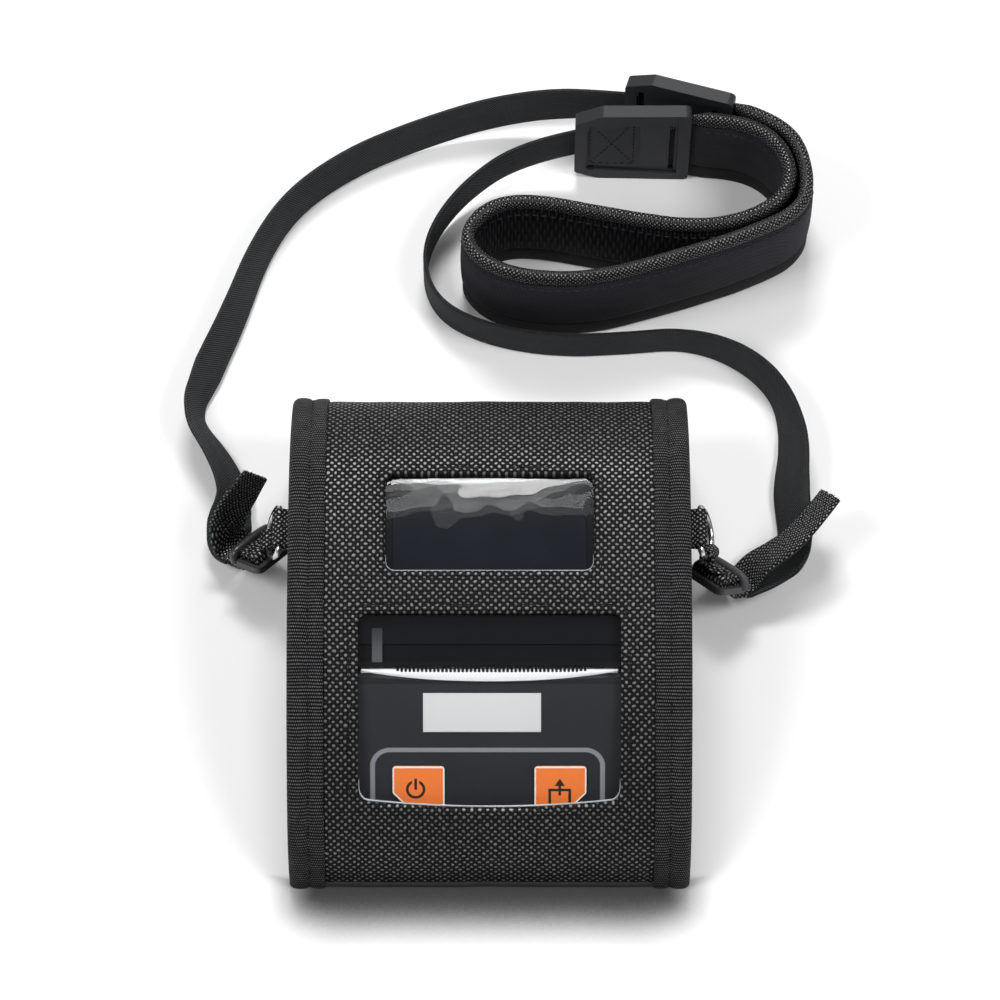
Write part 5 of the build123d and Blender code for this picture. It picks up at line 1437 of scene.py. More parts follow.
    def _fold_glint_line(self, name: str, window: Window, radius: float) -> None:
        """Pale opaque rim where the film bends up to the window's near edge: a painted reflection in the
        fold.

        Args:
            name: The piece's name.
            window: The window.
            radius: The rim's radius.
        """
        loop = window.loop(-0.25, 1.2)
        low = window.near + 5.5
        line = [p for p in loop if p[1] < low]
        start = min(range(len(line)), key=lambda k: line[k][0] * 10 + abs(line[k][1] - low))
        line = line[start:] + line[:start]
        if line[1][1] > line[0][1]:
            line = line[::-1]
        rings, cloth = [], []
        for i, (x, y) in enumerate(line):
            before = line[max(i - 1, 0)]
            after = line[min(i + 1, len(line) - 1)]
            along = Vector((after[0] - before[0], after[1] - before[1], 0)).normalized()
            s = PROFILE.along(y)
            centre = Vector((x, *PROFILE.at(s, self.rim_in)))
            out = Vector((0, *(a - b for a, b in zip(PROFILE.at(s, 0.0), PROFILE.at(s, 1.0))))).normalized()
            across = along.cross(out).normalized()
            size = radius * min(1.0, 0.25 + i / 6, 0.25 + (len(line) - 1 - i) / 6)
            rings.append(circle(centre, across * size, out * 0.8 * size, 8))
            cloth.append([(k * 0.2, i * 1.2, 0.0) for k in range(8)])
        # A pale grey opaque tube stands in for the lamps' bright reflection along the clear film's bend:
        # painted reflection.
        finish = Moulded("film_fold_painted_glint", (0.36, 0.38, 0.4), 0.25, grain=0.00002, blotch=0.2).make()
        place_swept(name, rings, cloth, finish, "flap", "clear_film")

    def _stitches(self) -> None:
        """Sewing lines round both windows and along both bindings."""

        def on_face(x: float, s: float, n: float) -> Spot:
            """A point and its outward normal."""
            here = Vector((x, *PROFILE.at(s, n)))
            out = Vector((x, *PROFILE.at(s, n - 1.0))) - here
            return here, out.normalized()

        lines = []
        for window in (UPPER, LOWER):
            loop = window.loop(self.seam_reach, 1.5)
            loop.append(loop[0])
            lines.append([on_face(x, PROFILE.along(y), 0.98) for x, y in loop])
        seam = Seam("window_stitches").build(lines, self.finishes.thread)
        place_piece(seam, "flap", "nylon")
        lines = []
        for side in (-1, 1):
            spots = np.linspace(1.5, PROFILE.length - 1.0, 130)
            lines.append([on_face(side * self.stitch_x, float(s), 0.38) for s in spots])
        thread = self.finishes.thread
        seam = Seam("binding_stitches", pitch=2.6, length=1.8, radius=0.2).build(lines, thread)
        place_piece(seam, "flap", "binding")

    def _hook_tape(self) -> None:
        """Hook tape inside the near end."""
        low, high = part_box("hook_tape")
        s0 = 2.9
        s1 = s0 + (high.z - low.z) / MM * 1.02
        rings, cloth = [], []
        half = high.x / MM - 0.2
        for i in range(25):
            x = -half + 2 * half * i / 24
            ring = [(x, *PROFILE.at(s, n)) for s, n in ((s0, 2.85), (s1, 2.85), (s1, 3.55), (s0, 3.55))]
            rings.append(ring)
            cloth.append([(x, s0, 0), (x, s1, 0), (x, s1, 1), (x, s0, 1)])
        where = ("flap", "fastener_tape", ["hook_tape"], 40)
        place_swept("flap_hook_tape", rings, cloth, self.finishes.pile, *where)


@dataclass
class CaseBody:
    """Back panel, far end, near wall, side gussets and far end's bindings."""

    finishes: Finishes
    half: float = 61.2
    corner: float = 4.0
    skin: float = 2.0
    strip_near: float = -72.3
    wall_height: float = 12.0
    gusset_in: float = 59.4
    gusset_top: float = 4.0

    def build(self) -> None:
        """Make every piece of the case's body."""
        self._back()
        for side in Side:
            self._gusset(side)
            self._binding(side)
        self._loop_tape()

    def _far_line(self, inset: float, low: float, high: float) -> list[Plan]:
        """Points down the far end's outline.

        Args:
            inset: How far inside the outline.
            low: The last point's Z.
            high: The first point's Z.

        Returns:
            The points in Y and Z.
        """
        cy, cz = PROFILE.far_centre
        radius = PROFILE.far_radius - inset
        points = []
        turn = math.acos(min(1.0, (high - cz) / radius))
        for k in range(10):
            a = turn + (math.pi / 2 - turn) * k / 9
            points.append((cy + radius * math.sin(a), cz + radius * math.cos(a)))
        side = cy + radius
        steps = 8
        points += [(side, cz + (low - cz) * k / steps) for k in range(1, steps + 1)]
        return points

    def _back(self) -> None:
        """One padded strip: far end, back panel and the low wall inside the near end."""
        outer = self._far_line(0.8, self.corner, PROFILE.hinge_z - 0.3)
        inner = self._far_line(2.8, self.corner, PROFILE.hinge_z - 0.3)
        side = outer[-1][0]
        for k in range(1, 6):
            a = math.pi / 2 * k / 5
            reach = self.corner - 0.8
            outer.append((side - reach + reach * math.cos(a), self.corner - self.corner * math.sin(a)))
            inner.append((side - reach + 1.2 * math.cos(a), self.corner - 2.0 * math.sin(a)))
        start = side - self.corner
        span = start - self.strip_near
        steps = 59
        for k in range(1, steps + 1):
            outer.append((start - span * k / steps, 0.0))
            inner.append((start - span * k / steps, self.skin))
        mesh = Mesh("case_strip")
        self._band(mesh, outer, inner, self.half)
        wall_out, wall_in = [], []
        for k in range(9):
            z = 1.0 + self.wall_height * k / 8
            for row, n in ((wall_out, 4.6), (wall_in, 5.8)):
                row.append((PROFILE.near_wall(z, n), z))
        self._band(mesh, wall_out, wall_in, self.gusset_in)
        place_piece(mesh.build([self.finishes.nylon]), "case", "nylon", ["case_back"], 50)

    @staticmethod
    def _band(mesh: Mesh, outer: Sequence[Plan], inner: Sequence[Plan], half: float) -> None:
        """Sweep a strip's side profile across the case."""
        loop = list(outer) + list(reversed(inner))
        reach = girth(loop)
        rings, cloth = [], []
        steps = 40
        for i in range(steps + 1):
            x = half - 2 * half * i / steps
            rings.append([(x, y, z) for y, z in loop])
            cloth.append([(x, s, 0.0) for s in reach])
        mesh.rings(rings, cloth)

    def _gusset(self, side: Side) -> None:
        """Side panel that bellies out a little between its seams."""
        rows, columns = 14, 64
        near, far, foot = -71.8, 72.9, 2.0

        def spot(layer: int, i: int, k: int) -> Marked:
            """A point up and along the panel."""
            y = near + (far - near) * k / columns
            share = i / rows
            z = foot + (self._top(y) - foot) * share
            belly = math.sin(math.pi * share) * math.sin(math.pi * k / columns) ** 0.5
            wave = 0.25 * soft_waves(y * 1.2, z * 1.4 + 30 * side.value) * belly
            x = self.gusset_in if layer else self.half + 0.9 * belly + wave
            return (x, y, z), (y, z, layer)

        mesh = Mesh(f"side_panel_{side.word}")
        mesh.layers(rows, columns, spot)
        piece = mesh.on(side).build([self.finishes.side_nylon])
        place_piece(piece, "case", "gusset_fabric", [f"case_gusset_{side.word}"], 50)

    def _top(self, y: float) -> float:
        """Top of the side panel at a Y."""
        n = self.gusset_top
        if y > PROFILE.far_centre[0]:
            reach = (PROFILE.far_radius - n) ** 2 - (y - PROFILE.far_centre[0]) ** 2
            return max(PROFILE.far_centre[1] + math.sqrt(max(reach, 0.0)), 4.0)
        return float(PROFILE.at(PROFILE.along(y), n)[1]) if y > -70.5 else 2.6 + (y + 71.8) * 4.0

    def _binding(self, side: Side) -> None:
        """Tape on the far end's side edge, under the flap's fold."""
        section = [(51.35, 0.78), (51.4, 0.15), (52.4, -0.15), (54.6, -0.15), (55.8, 0.2), (56.2, 0.38)]
        section += [(56.7, 0.15), (58.0, -0.25), (60.4, -0.3), (61.8, 0.05), (62.6, 0.9), (62.65, 2.4)]
        section += [(62.2, 3.4), (61.25, 3.6), (61.25, 0.78)]
        base = self._far_line(0.0, 5.0, PROFILE.hinge_z - 0.3)
        inner = self._far_line(1.0, 5.0, PROFILE.hinge_z - 0.3)
        marks = girth(section)
        rings, cloth = [], []
        for p, q, s in zip(base, inner, girth(base)):
            out = Vector((p[0] - q[0], p[1] - q[1]))
            rings.append([(x, p[0] - out.x * n, p[1] - out.y * n) for x, n in section])
            cloth.append([(mark, s, 0.0) for mark in marks])
        where = ("case", "binding", [f"body_binding_{side.word}"], 60)
        place_swept(f"far_tape_{side.word}", rings, cloth, self.finishes.tape, *where, side=side)

    def _loop_tape(self) -> None:
        """Loop tape on the near wall."""
        half, z0, z1 = 34.8, 3.0, 11.0
        rings, cloth = [], []
        for i in range(25):
            x = -half + 2 * half * i / 24
            ring = ((3.85, z0), (3.85, z1), (4.6, z1), (4.6, z0))
            rings.append([(x, PROFILE.near_wall(z, n), z) for n, z in ring])
            cloth.append([(x, z0, 0), (x, z1, 0), (x, z1, 1), (x, z0, 1)])
        where = ("case", "fastener_tape", ["loop_tape"], 40)
        place_swept("wall_loop_tape", rings, cloth, self.finishes.pile, *where)


@dataclass
class RingTabs:
    """Webbing tabs that hold the D-rings on the side panels."""

    finishes: Finishes
    eye_x: float = 67.0
    eye_z: float = 28.0
    root_x: float = 60.9
    low_y: float = 27.5
    high_y: float = 40.5
    middle: float = 1.7
    thick: float = 1.24

    def build(self) -> None:
        """Make both tabs."""
        line = [(self.root_x, self.eye_z + 0.66), (self.eye_x - 3.4, self.eye_z + 0.75)]
        for k in range(15):
            turn = math.radians(125 - 250 * k / 14)
            spot = (self.eye_x + self.middle * math.cos(turn), self.eye_z + self.middle * math.sin(turn))
            line.append(spot)
        line += [(self.eye_x - 3.4, self.eye_z - 0.75), (self.root_x, self.eye_z - 0.66)]
        section = self._section()
        rings, cloth = [], []
        for i, (here, reach) in enumerate(zip(line, girth(line))):
            before, after = line[max(i - 1, 0)], line[min(i + 1, len(line) - 1)]
            along = Vector((after[0] - before[0], after[1] - before[1])).normalized()
            rings.append([(here[0] + along.y * t, y, here[1] - along.x * t) for y, t in section])
            cloth.append([(y, reach, t) for y, t in section])
        for side in Side:
            where = ("case", "webbing_coarse", [f"ring_tab_{side.word}"], 60)
            name = f"ring_tab_web_{side.word}"
            place_swept(name, rings, cloth, self.finishes.coarse, *where, side=side)

    def _section(self) -> list[Plan]:
        """The webbing's section: Y and depth."""
        h = self.thick / 2
        top = [(self.low_y + 0.2, 0.7 * h), (self.low_y + 0.8, h), (34.0, 1.05 * h), (self.high_y - 0.8, h)]
        top += [(self.high_y - 0.2, 0.7 * h), (self.high_y, 0.0)]
        low = [(y, -t) for y, t in reversed(top[:-1])]
        return top + low + [(self.low_y, 0.0)]


# Strap


@dataclass(frozen=True)
class Route:
    """Control points of a ribbon's line and its width directions, in millimetres."""

    name: str
    points: tuple[Point, ...]
    leans: tuple[Point, ...]

    def line(self) -> list[Vector]:
        """Points read from the smooth line that the control points make."""
        data = bpy.data.curves.new(f"{self.name}_route", "CURVE")
        data.dimensions = "3D"
        data.resolution_u = 14
        spline = data.splines.new("NURBS")
        spline.points.add(len(self.points) - 1)
        for spot, point in zip(spline.points, self.points):
            spot.co = (*(MM * c for c in point), 1.0)
        spline.order_u = 3
        spline.use_endpoint_u = True
        holder = bpy.data.objects.new(data.name, data)
        flat = bpy.data.meshes.new_from_object(holder)
        line = [v.co.copy() / MM for v in flat.vertices]
        bpy.data.meshes.remove(flat)
        bpy.data.objects.remove(holder)
        bpy.data.curves.remove(data)
        return line

    def frames(self) -> list[Station]:
        """Point, heading, width direction, face direction and length along, at each point."""
        line = self.line()
        count = len(self.points)
        spots = [0.0] + [k - 0.5 for k in range(1, count - 1)] + [float(count - 2)]
        places = np.linspace(0, count - 2, len(line))
        leans = np.array([np.interp(places, spots, [lean[a] for lean in self.leans]) for a in range(3)]).T
        frames = []
        reach = 0.0
        for i, here in enumerate(line):
            after = line[min(i + 1, len(line) - 1)]
            before = line[max(i - 1, 0)]
            along = (after - before).normalized()
            lean = Vector(leans[i])
            wide = (lean - along * lean.dot(along)).normalized()
            if i:
                reach += (here - line[i - 1]).length
            frames.append((here, along, wide, along.cross(wide), reach))
        return frames


UP = (0.0, 0.0, 1.0)
LEFT_WEB = Route(
    "left_web",
    (
        (45.4, 193.7, 20.5), (25, 197.3, 16), (0, 196.2, 11), (-25, 188.8, 8), (-47, 178.5, 7.9),
        (-66, 163.5, 7.8), (-77, 144.5, 7.8), (-84.5, 121, 7.8), (-93.0, 100, 7.8), (-98.5, 84.5, 7.8),
        (-87.5, 68.5, 7.8), (-82.4, 55.5, 7.2), (-84.6, 45.5, 6.0), (-84.2, 38.6, 4.6),
        (-80.2, 35.7, 6.2),
    ),
    (
        UP, (0.05, 0.15, 0.97), (0, 0.2, 0.97), (-0.08, 0.2, 0.96), (-0.12, 0.2, 0.96),
        (-0.2, 0.15, 0.95), (-0.3, 0.1, 0.93), (-0.42, 0.08, 0.9), (-0.52, 0, 0.85), (-0.3, -0.3, 0.9),
        (-0.4, -0.45, 0.8), (-0.55, -0.4, 0.66), (-0.75, -0.6, 0.12), (-0.61, -0.77, 0.12),
        (-0.61, -0.707, 0.365),
    ),
)
RIGHT_WEB = Route(
    "right_web",
    (
        (28.2, 179.2, 20.5), (10, 177.5, 15.8), (-8, 166.5, 11), (-19.5, 151.5, 8.2),
        (-22.5, 136.5, 7.8), (-16.5, 122, 7.8), (0, 113.5, 7.8), (22, 109.6, 7.8), (44, 110.5, 7.8),
        (64, 112.5, 7.8), (82, 106.5, 7.8), (95, 94, 7.8), (99.5, 76, 7.4), (97.5, 58, 6.9),
        (99, 42, 6.9), (97.8, 31, 7.0), (90, 27, 6.4), (81.6, 24.8, 5.4), (79.2, 23.7, 6),
    ),
    (
        *[UP] * 10, (0.1, 0.1, 0.98), (0.2, 0.15, 0.95), (0.55, -0.1, 0.8), (0.7, -0.3, 0.65),
        (0.65, -0.3, 0.68), (0.5, -0.4, 0.75), (0.5, -0.6, 0.62), (0.595, -0.658, 0.466),
        (0.595, -0.658, 0.466),
    ),
)
LEFT_TAIL = Route(
    "left_tail",
    (
        (-80.3, 36.4, 7.5), (-83, 38.1, 6.9), (-84.8, 39.8, 12), (-84.2, 43.8, 14.2), (-81, 48.4, 18.4),
        (-75.2, 55.4, 23),
    ),
    (
        (-0.61, -0.707, 0.365), (-0.62, -0.66, 0.42), (-0.65, -0.5, 0.57), (-0.75, -0.4, 0.53),
        (-0.6, -0.22, 0.77), (-0.31, -0.09, 0.95),
    ),
)
RIGHT_TAIL = Route(
    "right_tail",
    (
        (79.5, 24.7, 7), (81.6, 25.7, 6.2), (84.6, 29.2, 8.4), (89, 31.8, 11), (99, 36.6, 16),
        (109.4, 49, 21.5),
    ),
    (
        (0.595, -0.658, 0.466), (0.5, -0.68, 0.5), (0.4, -0.72, 0.56), (0.24, -0.74, 0.62),
        (0.24, -0.71, 0.67), (0.47, -0.37, 0.8),
    ),
)
PAD_PLAN = (
    (80.9, 182.65), (97, 177.5), (104.4, 161), (103, 145.5), (86, 136), (58, 126.2), (30, 118.2),
    (3, 121), (-9.5, 133), (-2, 145), (12, 148.5), (40, 142.5), (68, 137.5), (88, 142.5), (98.3, 152),
    (98.3, 164.5), (90, 174.5), (77, 178.3), (66.9, 178.4),
)


@dataclass(frozen=True)
class SliderFrame:
    """A slider's middle, the direction of its bars and that of its webbing."""

    centre: Point
    bar: Point
    along: Point

    def spot(self, forward: float, lift: float, across: float = 0.0) -> Vector:
        """A point by its place along the webbing, off the plate and along the bars."""
        bar = Vector(self.bar).normalized()
        along = Vector(self.along)
        along = (along - bar * along.dot(bar)).normalized()
        return Vector(self.centre) + along * forward + bar.cross(along) * lift + bar * across


FAR_FITTING = ((45.4, 193.7), (80.4, 182.8))
NEAR_FITTING = ((28.2, 179.2), (66.4, 178.4))
FITTING_MIDDLE = 20.5
# Half of a slider's bow: off the plate and along the bars
BOW_SIDE = ((0.2, 8.6), (2.8, 9.0), (3.5, 5.0))
BOW_FORWARD = -4.9
FRAY_SEEDS = {Side.LEFT: 11, Side.RIGHT: 12}


@dataclass
class Strap:
    """Shoulder strap: two webs with free tails, doubled loops and the padded section."""

    finishes: Finishes
    width: float = 15.0
    thick: float = 1.3
    pad_half: float = 19.5
    edge_width: float = 15.0
    ring_x: float = 67.0
    ring_y: float = 34.0
    ring_z: float = 28.0
    ring_eye: float = 2.5
    ring_bow: float = 8.0
    droop: float = 68.0
    left: SliderFrame = SliderFrame((-72.6, 32.6, 13.0), (-0.610, -0.707, 0.365), (0.790, -0.489, 0.372))
    right: SliderFrame = SliderFrame((72.1, 22.8, 13.8), (-0.595, 0.658, -0.466), (-0.783, -0.332, 0.532))

    def build(self) -> None:
        """Make the strap."""
        self._pad()
        self._patch()
        self._cores()
        for side, web, tail, slider, bow, fitting in (
            (Side.LEFT, LEFT_WEB, LEFT_TAIL, self.left, 0.0, "pad_fitting_far"),
            (Side.RIGHT, RIGHT_WEB, RIGHT_TAIL, self.right, 45.0, "pad_fitting_near"),
        ):
            free = self._tail(side, tail)
            loop = self._loop(side, slider, bow)
            self._bail(side, slider)
            self._web(side, web)

    def _web(self, side: Side, web: Route) -> None:
        """The long run of webbing on one side.

        Args:
            side: The side of the case that it comes from.
            web: Its route, from the pad's fitting to the slider.
        """
        mesh = Mesh(f"strap_run_{side.word}")
        frames = web.frames()
        self._ribbon(mesh, self._longer(frames, 4.5, 0.0), self._web_section())
        piece = mesh.build([self.finishes.web])
        place_piece(piece, "case", "webbing", [f"strap_web_{side.word}"], 50)
        [MM * c for c in frames[-1][0]]
        MM * frames[-1][4]
        [MM * f[0] for f in frames]

    @staticmethod
    def _longer(frames: Sequence[Station], before: float, after: float) -> list[Station]:
        """The stations with one more at each end, straight on by a length."""
        first, last = frames[0], frames[-1]
        start = (first[0] - first[1] * before, *first[1:4], first[4] - before)
        end = (last[0] + last[1] * after, *last[1:4], last[4] + after)
        return [start] * (before > 0) + list(frames) + [end] * (after > 0)

    def _web_section(self) -> list[Plan]:
        """Webbing's section: width and depth, with rounded selvedges."""
        h = self.width / 2
        t = self.thick / 2
        face = [(h, 0.0), (h - 0.12, -0.6 * t), (h - 0.5, -t)]
        face += [(h - 2.2, -1.02 * t), (h - 4.6, -0.98 * t), (0.0, -1.06 * t)]
        face += [(-w, d) for w, d in reversed(face[:-1])]
        return face + [(w, -d) for w, d in reversed(face[1:-1])]

    @staticmethod
    def _ribbon(
        mesh: Mesh,
        frames: Sequence[Station],
        section: Sequence[Plan],
        slots: Sequence[int] | None = None,
        shape: Callable[[float, float, float], tuple[float, float]] | None = None,
    ) -> None:
        """Sweep a section along frames.

        Args:
            mesh: The mesh that gets the ribbon.
            frames: Stations along the ribbon.
            section: Width and depth of each section point.
            slots: Material of each strip.
            shape: Gives a point's width and depth from its own and the length along.
        """
        rings, cloth = [], []
        marks = girth(section)
        for here, _, wide, deep, reach in frames:
            ring = []
            for w, d in section:
                if shape:
                    w, d = shape(w, d, reach)
                ring.append(tuple(here + wide * w + deep * d))
            rings.append(ring)
            cloth.append([(mark, reach, 0.0) for mark in marks])
        mesh.rings(rings, cloth, slots)

    def _tail(self, side: Side, route: Route) -> Object:
        """A free tail whose cut end frays."""
        mesh = Mesh(f"strap_free_tail_{side.word}")
        frames = route.frames()
        self._ribbon(mesh, frames, self._web_section())
        here, along, wide, deep, reach = frames[-1]
        spread = np.random.default_rng(FRAY_SEEDS[side])
        for k in range(34):
            w = -7.0 + 14.0 * k / 33
            start = here + wide * w + deep * float(spread.uniform(-0.4, 0.4)) - along * 0.6
            turn = along + wide * float(spread.uniform(-0.35, 0.35)) + deep * float(spread.uniform(-0.4, 0.4))
            length = float(spread.uniform(0.6, 1.3))
            rings, cloth = [], []
            for share, size in ((0.0, 0.2), (0.6, 0.17), (1.0, 0.05)):
                centre = start + turn.normalized() * length * share + deep * 0.3 * share * share
                rings.append(circle(centre, wide * size, deep * size, 5))
                cloth.append([(j * 0.2, reach + share, 0.0) for j in range(5)])
            mesh.rings(rings, cloth, [1] * 5)
        piece = mesh.build([self.finishes.coarse, self.finishes.thread])
        return place_piece(piece, "case", "webbing_coarse", [f"strap_tail_{side.word}"], 50)

    def _loop(self, side: Side, slider: SliderFrame, bow: float) -> Object:
        """Doubled webbing through the slider, and on to an eye round the D-ring's bow.

        Args:
            side: The side of the case.
            slider: The slider's place and directions.
            bow: How far round the ring's bow the eye sits, in degrees.

        Returns:
            The doubled webbing.
        """
        double = 2 * self.thick + 0.1
        level = 2.75
        mesh = Mesh(f"strap_double_{side.word}")
        path = [(-9.2, -level), (-6.0, -level), (-2.9, -level), (-2.9, 0.0), (-2.9, level), (0.0, level)]
        path += [(2.9, level), (2.9, 0.5), (2.9, -1.1)]
        route = Route(
            f"thread_{side.word}",
            tuple(tuple(slider.spot(y, z)) for y, z in path),
            (tuple(Vector(slider.bar).normalized()),) * len(path),
        )
        self._ribbon(mesh, route.frames(), self._double_section(double))
        turn = math.radians(bow)
        droop = math.radians(self.droop)
        sign = side.value
        reach = self.ring_eye + self.ring_bow * math.cos(turn)
        ring = Vector(
            (
                sign * (self.ring_x + reach * math.cos(droop)),
                self.ring_y - self.ring_bow * math.sin(turn),
                self.ring_z - reach * math.sin(droop),
            )
        )
        outward, down = math.cos(droop), -math.sin(droop)
        wire = Vector((sign * math.sin(turn) * outward, math.cos(turn), math.sin(turn) * down))
        start = slider.spot(0.5, level + 0.6)
        along = (ring - start).normalized()
        bar = Vector(slider.bar).normalized()
        if bar.dot(wire) < 0:
            wire = -wire
        frames = []
        length = (ring - start).length - 1.6
        for k in range(9):
            share = k / 8
            lean = bar.lerp(wire, share)
            wide = (lean - along * lean.dot(along)).normalized()
            sag = 0.5 * math.sin(math.pi * share)
            here = start + along * length * share + along.cross(wide) * sag * 0.4
            frames.append((here, along, wide, along.cross(wide), length * share))

        def narrow(w: float, d: float, s: float) -> tuple[float, float]:
            """Width drawn in towards the ring."""
            return w * (0.86 - 0.36 * s / max(length, 1e-6)), d

        self._ribbon(mesh, frames, self._double_section(double), None, narrow)
        first = along.cross(wire).normalized()
        second = wire.cross(first).normalized()
        eye = ((3.5, 1.35), (3.5, 2.3), (3.2, 2.58), (-3.2, 2.58), (-3.5, 2.3), (-3.5, 1.35))
        rings, cloth = [], []
        for k in range(24):
            a = math.tau * k / 24
            out = first * math.cos(a) + second * math.sin(a)
            rings.append([tuple(ring + wire * w + out * r) for w, r in eye])
            cloth.append([(w, 2.0 * a, 0.0) for w in (3.5, 3.9, 3.2, -3.2, -3.9, -3.5)])
        mesh.rings(rings, cloth, loop=True)
        piece = mesh.build([self.finishes.coarse])
        crease(piece, 50)
        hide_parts(f"strap_loop_{side.word}")
        tuple(MM * start)
        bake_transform(piece)
        LOG.info("%s bends between the case and its ring", piece.name)
        return piece

    def _bail(self, side: Side, slider: SliderFrame) -> None:
        """Rounded bow of a slider that holds the webbing down."""
        spots = [(lift, -across) for lift, across in BOW_SIDE] + list(reversed(BOW_SIDE))
        line = tuple(tuple(slider.spot(BOW_FORWARD, lift, across)) for lift, across in spots)
        route = Route(f"bail_{side.word}", line, (UP,) * len(line))
        rings, cloth = [], []
        for here, _, wide, deep, reach in route.frames():
            rings.append(circle(here, wide * 1.75, deep * 1.4, 12))
            cloth.append([(k * 0.7, reach, 0.0) for k in range(12)])
        # The right bow wears the lighter copy of the slider plastic: painted light, not a different plastic.
        finish = self.finishes.slider_black if side is Side.LEFT else self.finishes.slider_lit_grey
        place_swept(f"slider_bow_{side.word}", rings, cloth, finish, "case", "moulded_black", (), 60)

    def _double_section(self, double: float) -> list[Plan]:
        """Section of two layers of webbing with the gap between them at each edge."""
        h = self.width / 2
        t = double / 2
        face = [(h - 0.5, -0.04), (h - 0.02, -0.35 * t), (h - 0.1, -0.75 * t)]
        face += [(h - 0.5, -t), (0.0, -1.03 * t)]
        face += [(-w, d) for w, d in reversed(face[:-1])]
        return face + [(w, -d) for w, d in reversed(face)]

    def _pad(self) -> None:
        """Padded section on edge, with bound edges, sewn grooves and two faces."""
        middle = self.pad_half + 0.3
        points = tuple((x, y, middle) for x, y in PAD_PLAN)
        route = Route("pad", points, (UP,) * len(points))
        frames = route.frames()
        length = frames[-1][4]
        edge = [(19.75, 0.0), (19.6, -1.1), (18.8, -1.85), (17.2, -2.15), (15.9, -1.95), (15.1, -0.95)]
        panel = [(14.3, -1.75), (12.4, -2.3), (8.0, -2.5), (2.0, -2.6), (-4.0, -2.55), (-9.0, -2.35)]
        panel += [(-11.1, -1.9), (-11.9, -0.95)]
        band = [(-12.7, -1.8), (-14.6, -2.05), (-17.6, -2.0), (-19.2, -1.55), (-19.45, 0.0)]
        face = edge + panel + band
        section = face + [(w, -d) for w, d in reversed(face[1:-1])]
        kinds = [3] * 5 + [0] * 8 + [2] * 5
        slots = kinds + [2] * 5 + [1] * 8 + [3] * 5

        def shape(w: float, d: float, s: float) -> tuple[float, float]:
            """Soft unevenness, and thin ends where the fittings grip."""
            grip = min(1.0, 0.5 + max(0.0, min(s, length - s)) / 9.0)
            if not 0.0 <= s <= length:
                w, d = w * 0.7, d * 0.5
            swell = 0.16 * soft_waves(s * 1.1, w * 2.0 + (20 if d > 0 else 0))
            lean = 0.18 * soft_waves(s * 0.9, 3.0) if w > self.edge_width else 0.0
            return w + lean, d * grip + math.copysign(max(0.0, swell), d) * (abs(d) > 1)

        mesh = Mesh("pad_section")
        self._ribbon(mesh, self._longer(frames, 7.0, 7.0), section, slots, shape)
        f = self.finishes
        piece = mesh.build([f.pad_panel, f.pad_back, f.pad_band, f.pad_edge])
        place_piece(piece, "case", "pad_fabric", ["shoulder_pad"], 65)
        inner = [station for station in frames if 3.0 < station[4] < length - 3.0]

        def rows(widths: Sequence[float], depth: float) -> list[list[Spot]]:
            """Seam lines on both faces at some widths."""
            return [
                [(here + wide * w + deep * depth * way, deep * way) for here, _, wide, deep, _ in inner]
                for w in widths
                for way in (-1, 1)
            ]

        sewn = Seam("pad_stitches", pitch=2.9, length=2.1, radius=0.26)
        place_piece(sewn.build(rows((15.1, -11.9), 1.1), f.thread), "case", "pad_fabric")
        topped = Seam("pad_topstitch", pitch=2.9, length=2.2, radius=0.24)
        place_piece(topped.build(rows((12.7,), 2.3), f.pad_thread), "case", "pad_fabric")

    def _cores(self) -> None:
        """Webbing inside each moulded fitting, seen through its slots, in a near-black finish that paints the
        slots' shade.
        """
        for name, ends in (("far", FAR_FITTING), ("near", NEAR_FITTING)):
            start, end = (Vector((*spot, FITTING_MIDDLE)) for spot in ends)
            along = (end - start).normalized()
            out = along.cross(Vector(UP))
            ring = ((13.8, 0.5), (13.8, -0.5), (-13.8, -0.5), (-13.8, 0.5))
            rings, cloth = [], []
            for s in np.linspace(3.0, (end - start).length - 3.0, 12):
                rings.append([tuple(start + along * float(s) + Vector((0, 0, z)) + out * d) for z, d in ring])
                cloth.append([(z, float(s), 0.0) for z, _ in ring])
            finish = self.finishes.slot_painted_shade
            place_swept(f"fitting_webbing_{name}", rings, cloth, finish, "case", "webbing", (), 40)

    def _patch(self) -> None:
        """Sewn patch on the near fitting, boxed and crossed with thread."""
        corners = ((31.4, 8.2), (49.6, 7.8), (49.4, 40.4), (31.2, 37.6))
        near, far = (Vector((*end, 0)) for end in NEAR_FITTING)
        along = (far - near).normalized()
        out = Vector((along.y, -along.x, 0))

        def on_patch(u: float, v: float, lift: float) -> Vector:
            """A point of the patch by its shares of width and height."""
            low = Vector(corners[0]).lerp(Vector(corners[1]), u)
            high = Vector(corners[3]).lerp(Vector(corners[2]), u)
            x, z = low.lerp(high, v)
            base = near + along * ((x - near.x) / along.x) + out * (1.45 + lift)
            return Vector((base.x, base.y, z))

        columns, rows = 18, 26

        def spot(layer: int, i: int, k: int) -> Marked:
            """A point across and up the patch, puffed between its seams on the outer layer."""
            u, v = 1 - i / columns, k / rows
            edge = min(u, 1 - u, v, 1 - v)
            puff = 0.3 + 0.2 * min(1.0, edge * 14) + 0.05 * soft_waves(u * 60, v * 70)
            return tuple(on_patch(u, v, 0.0 if layer else puff)), (u * 18, v * 33, layer)

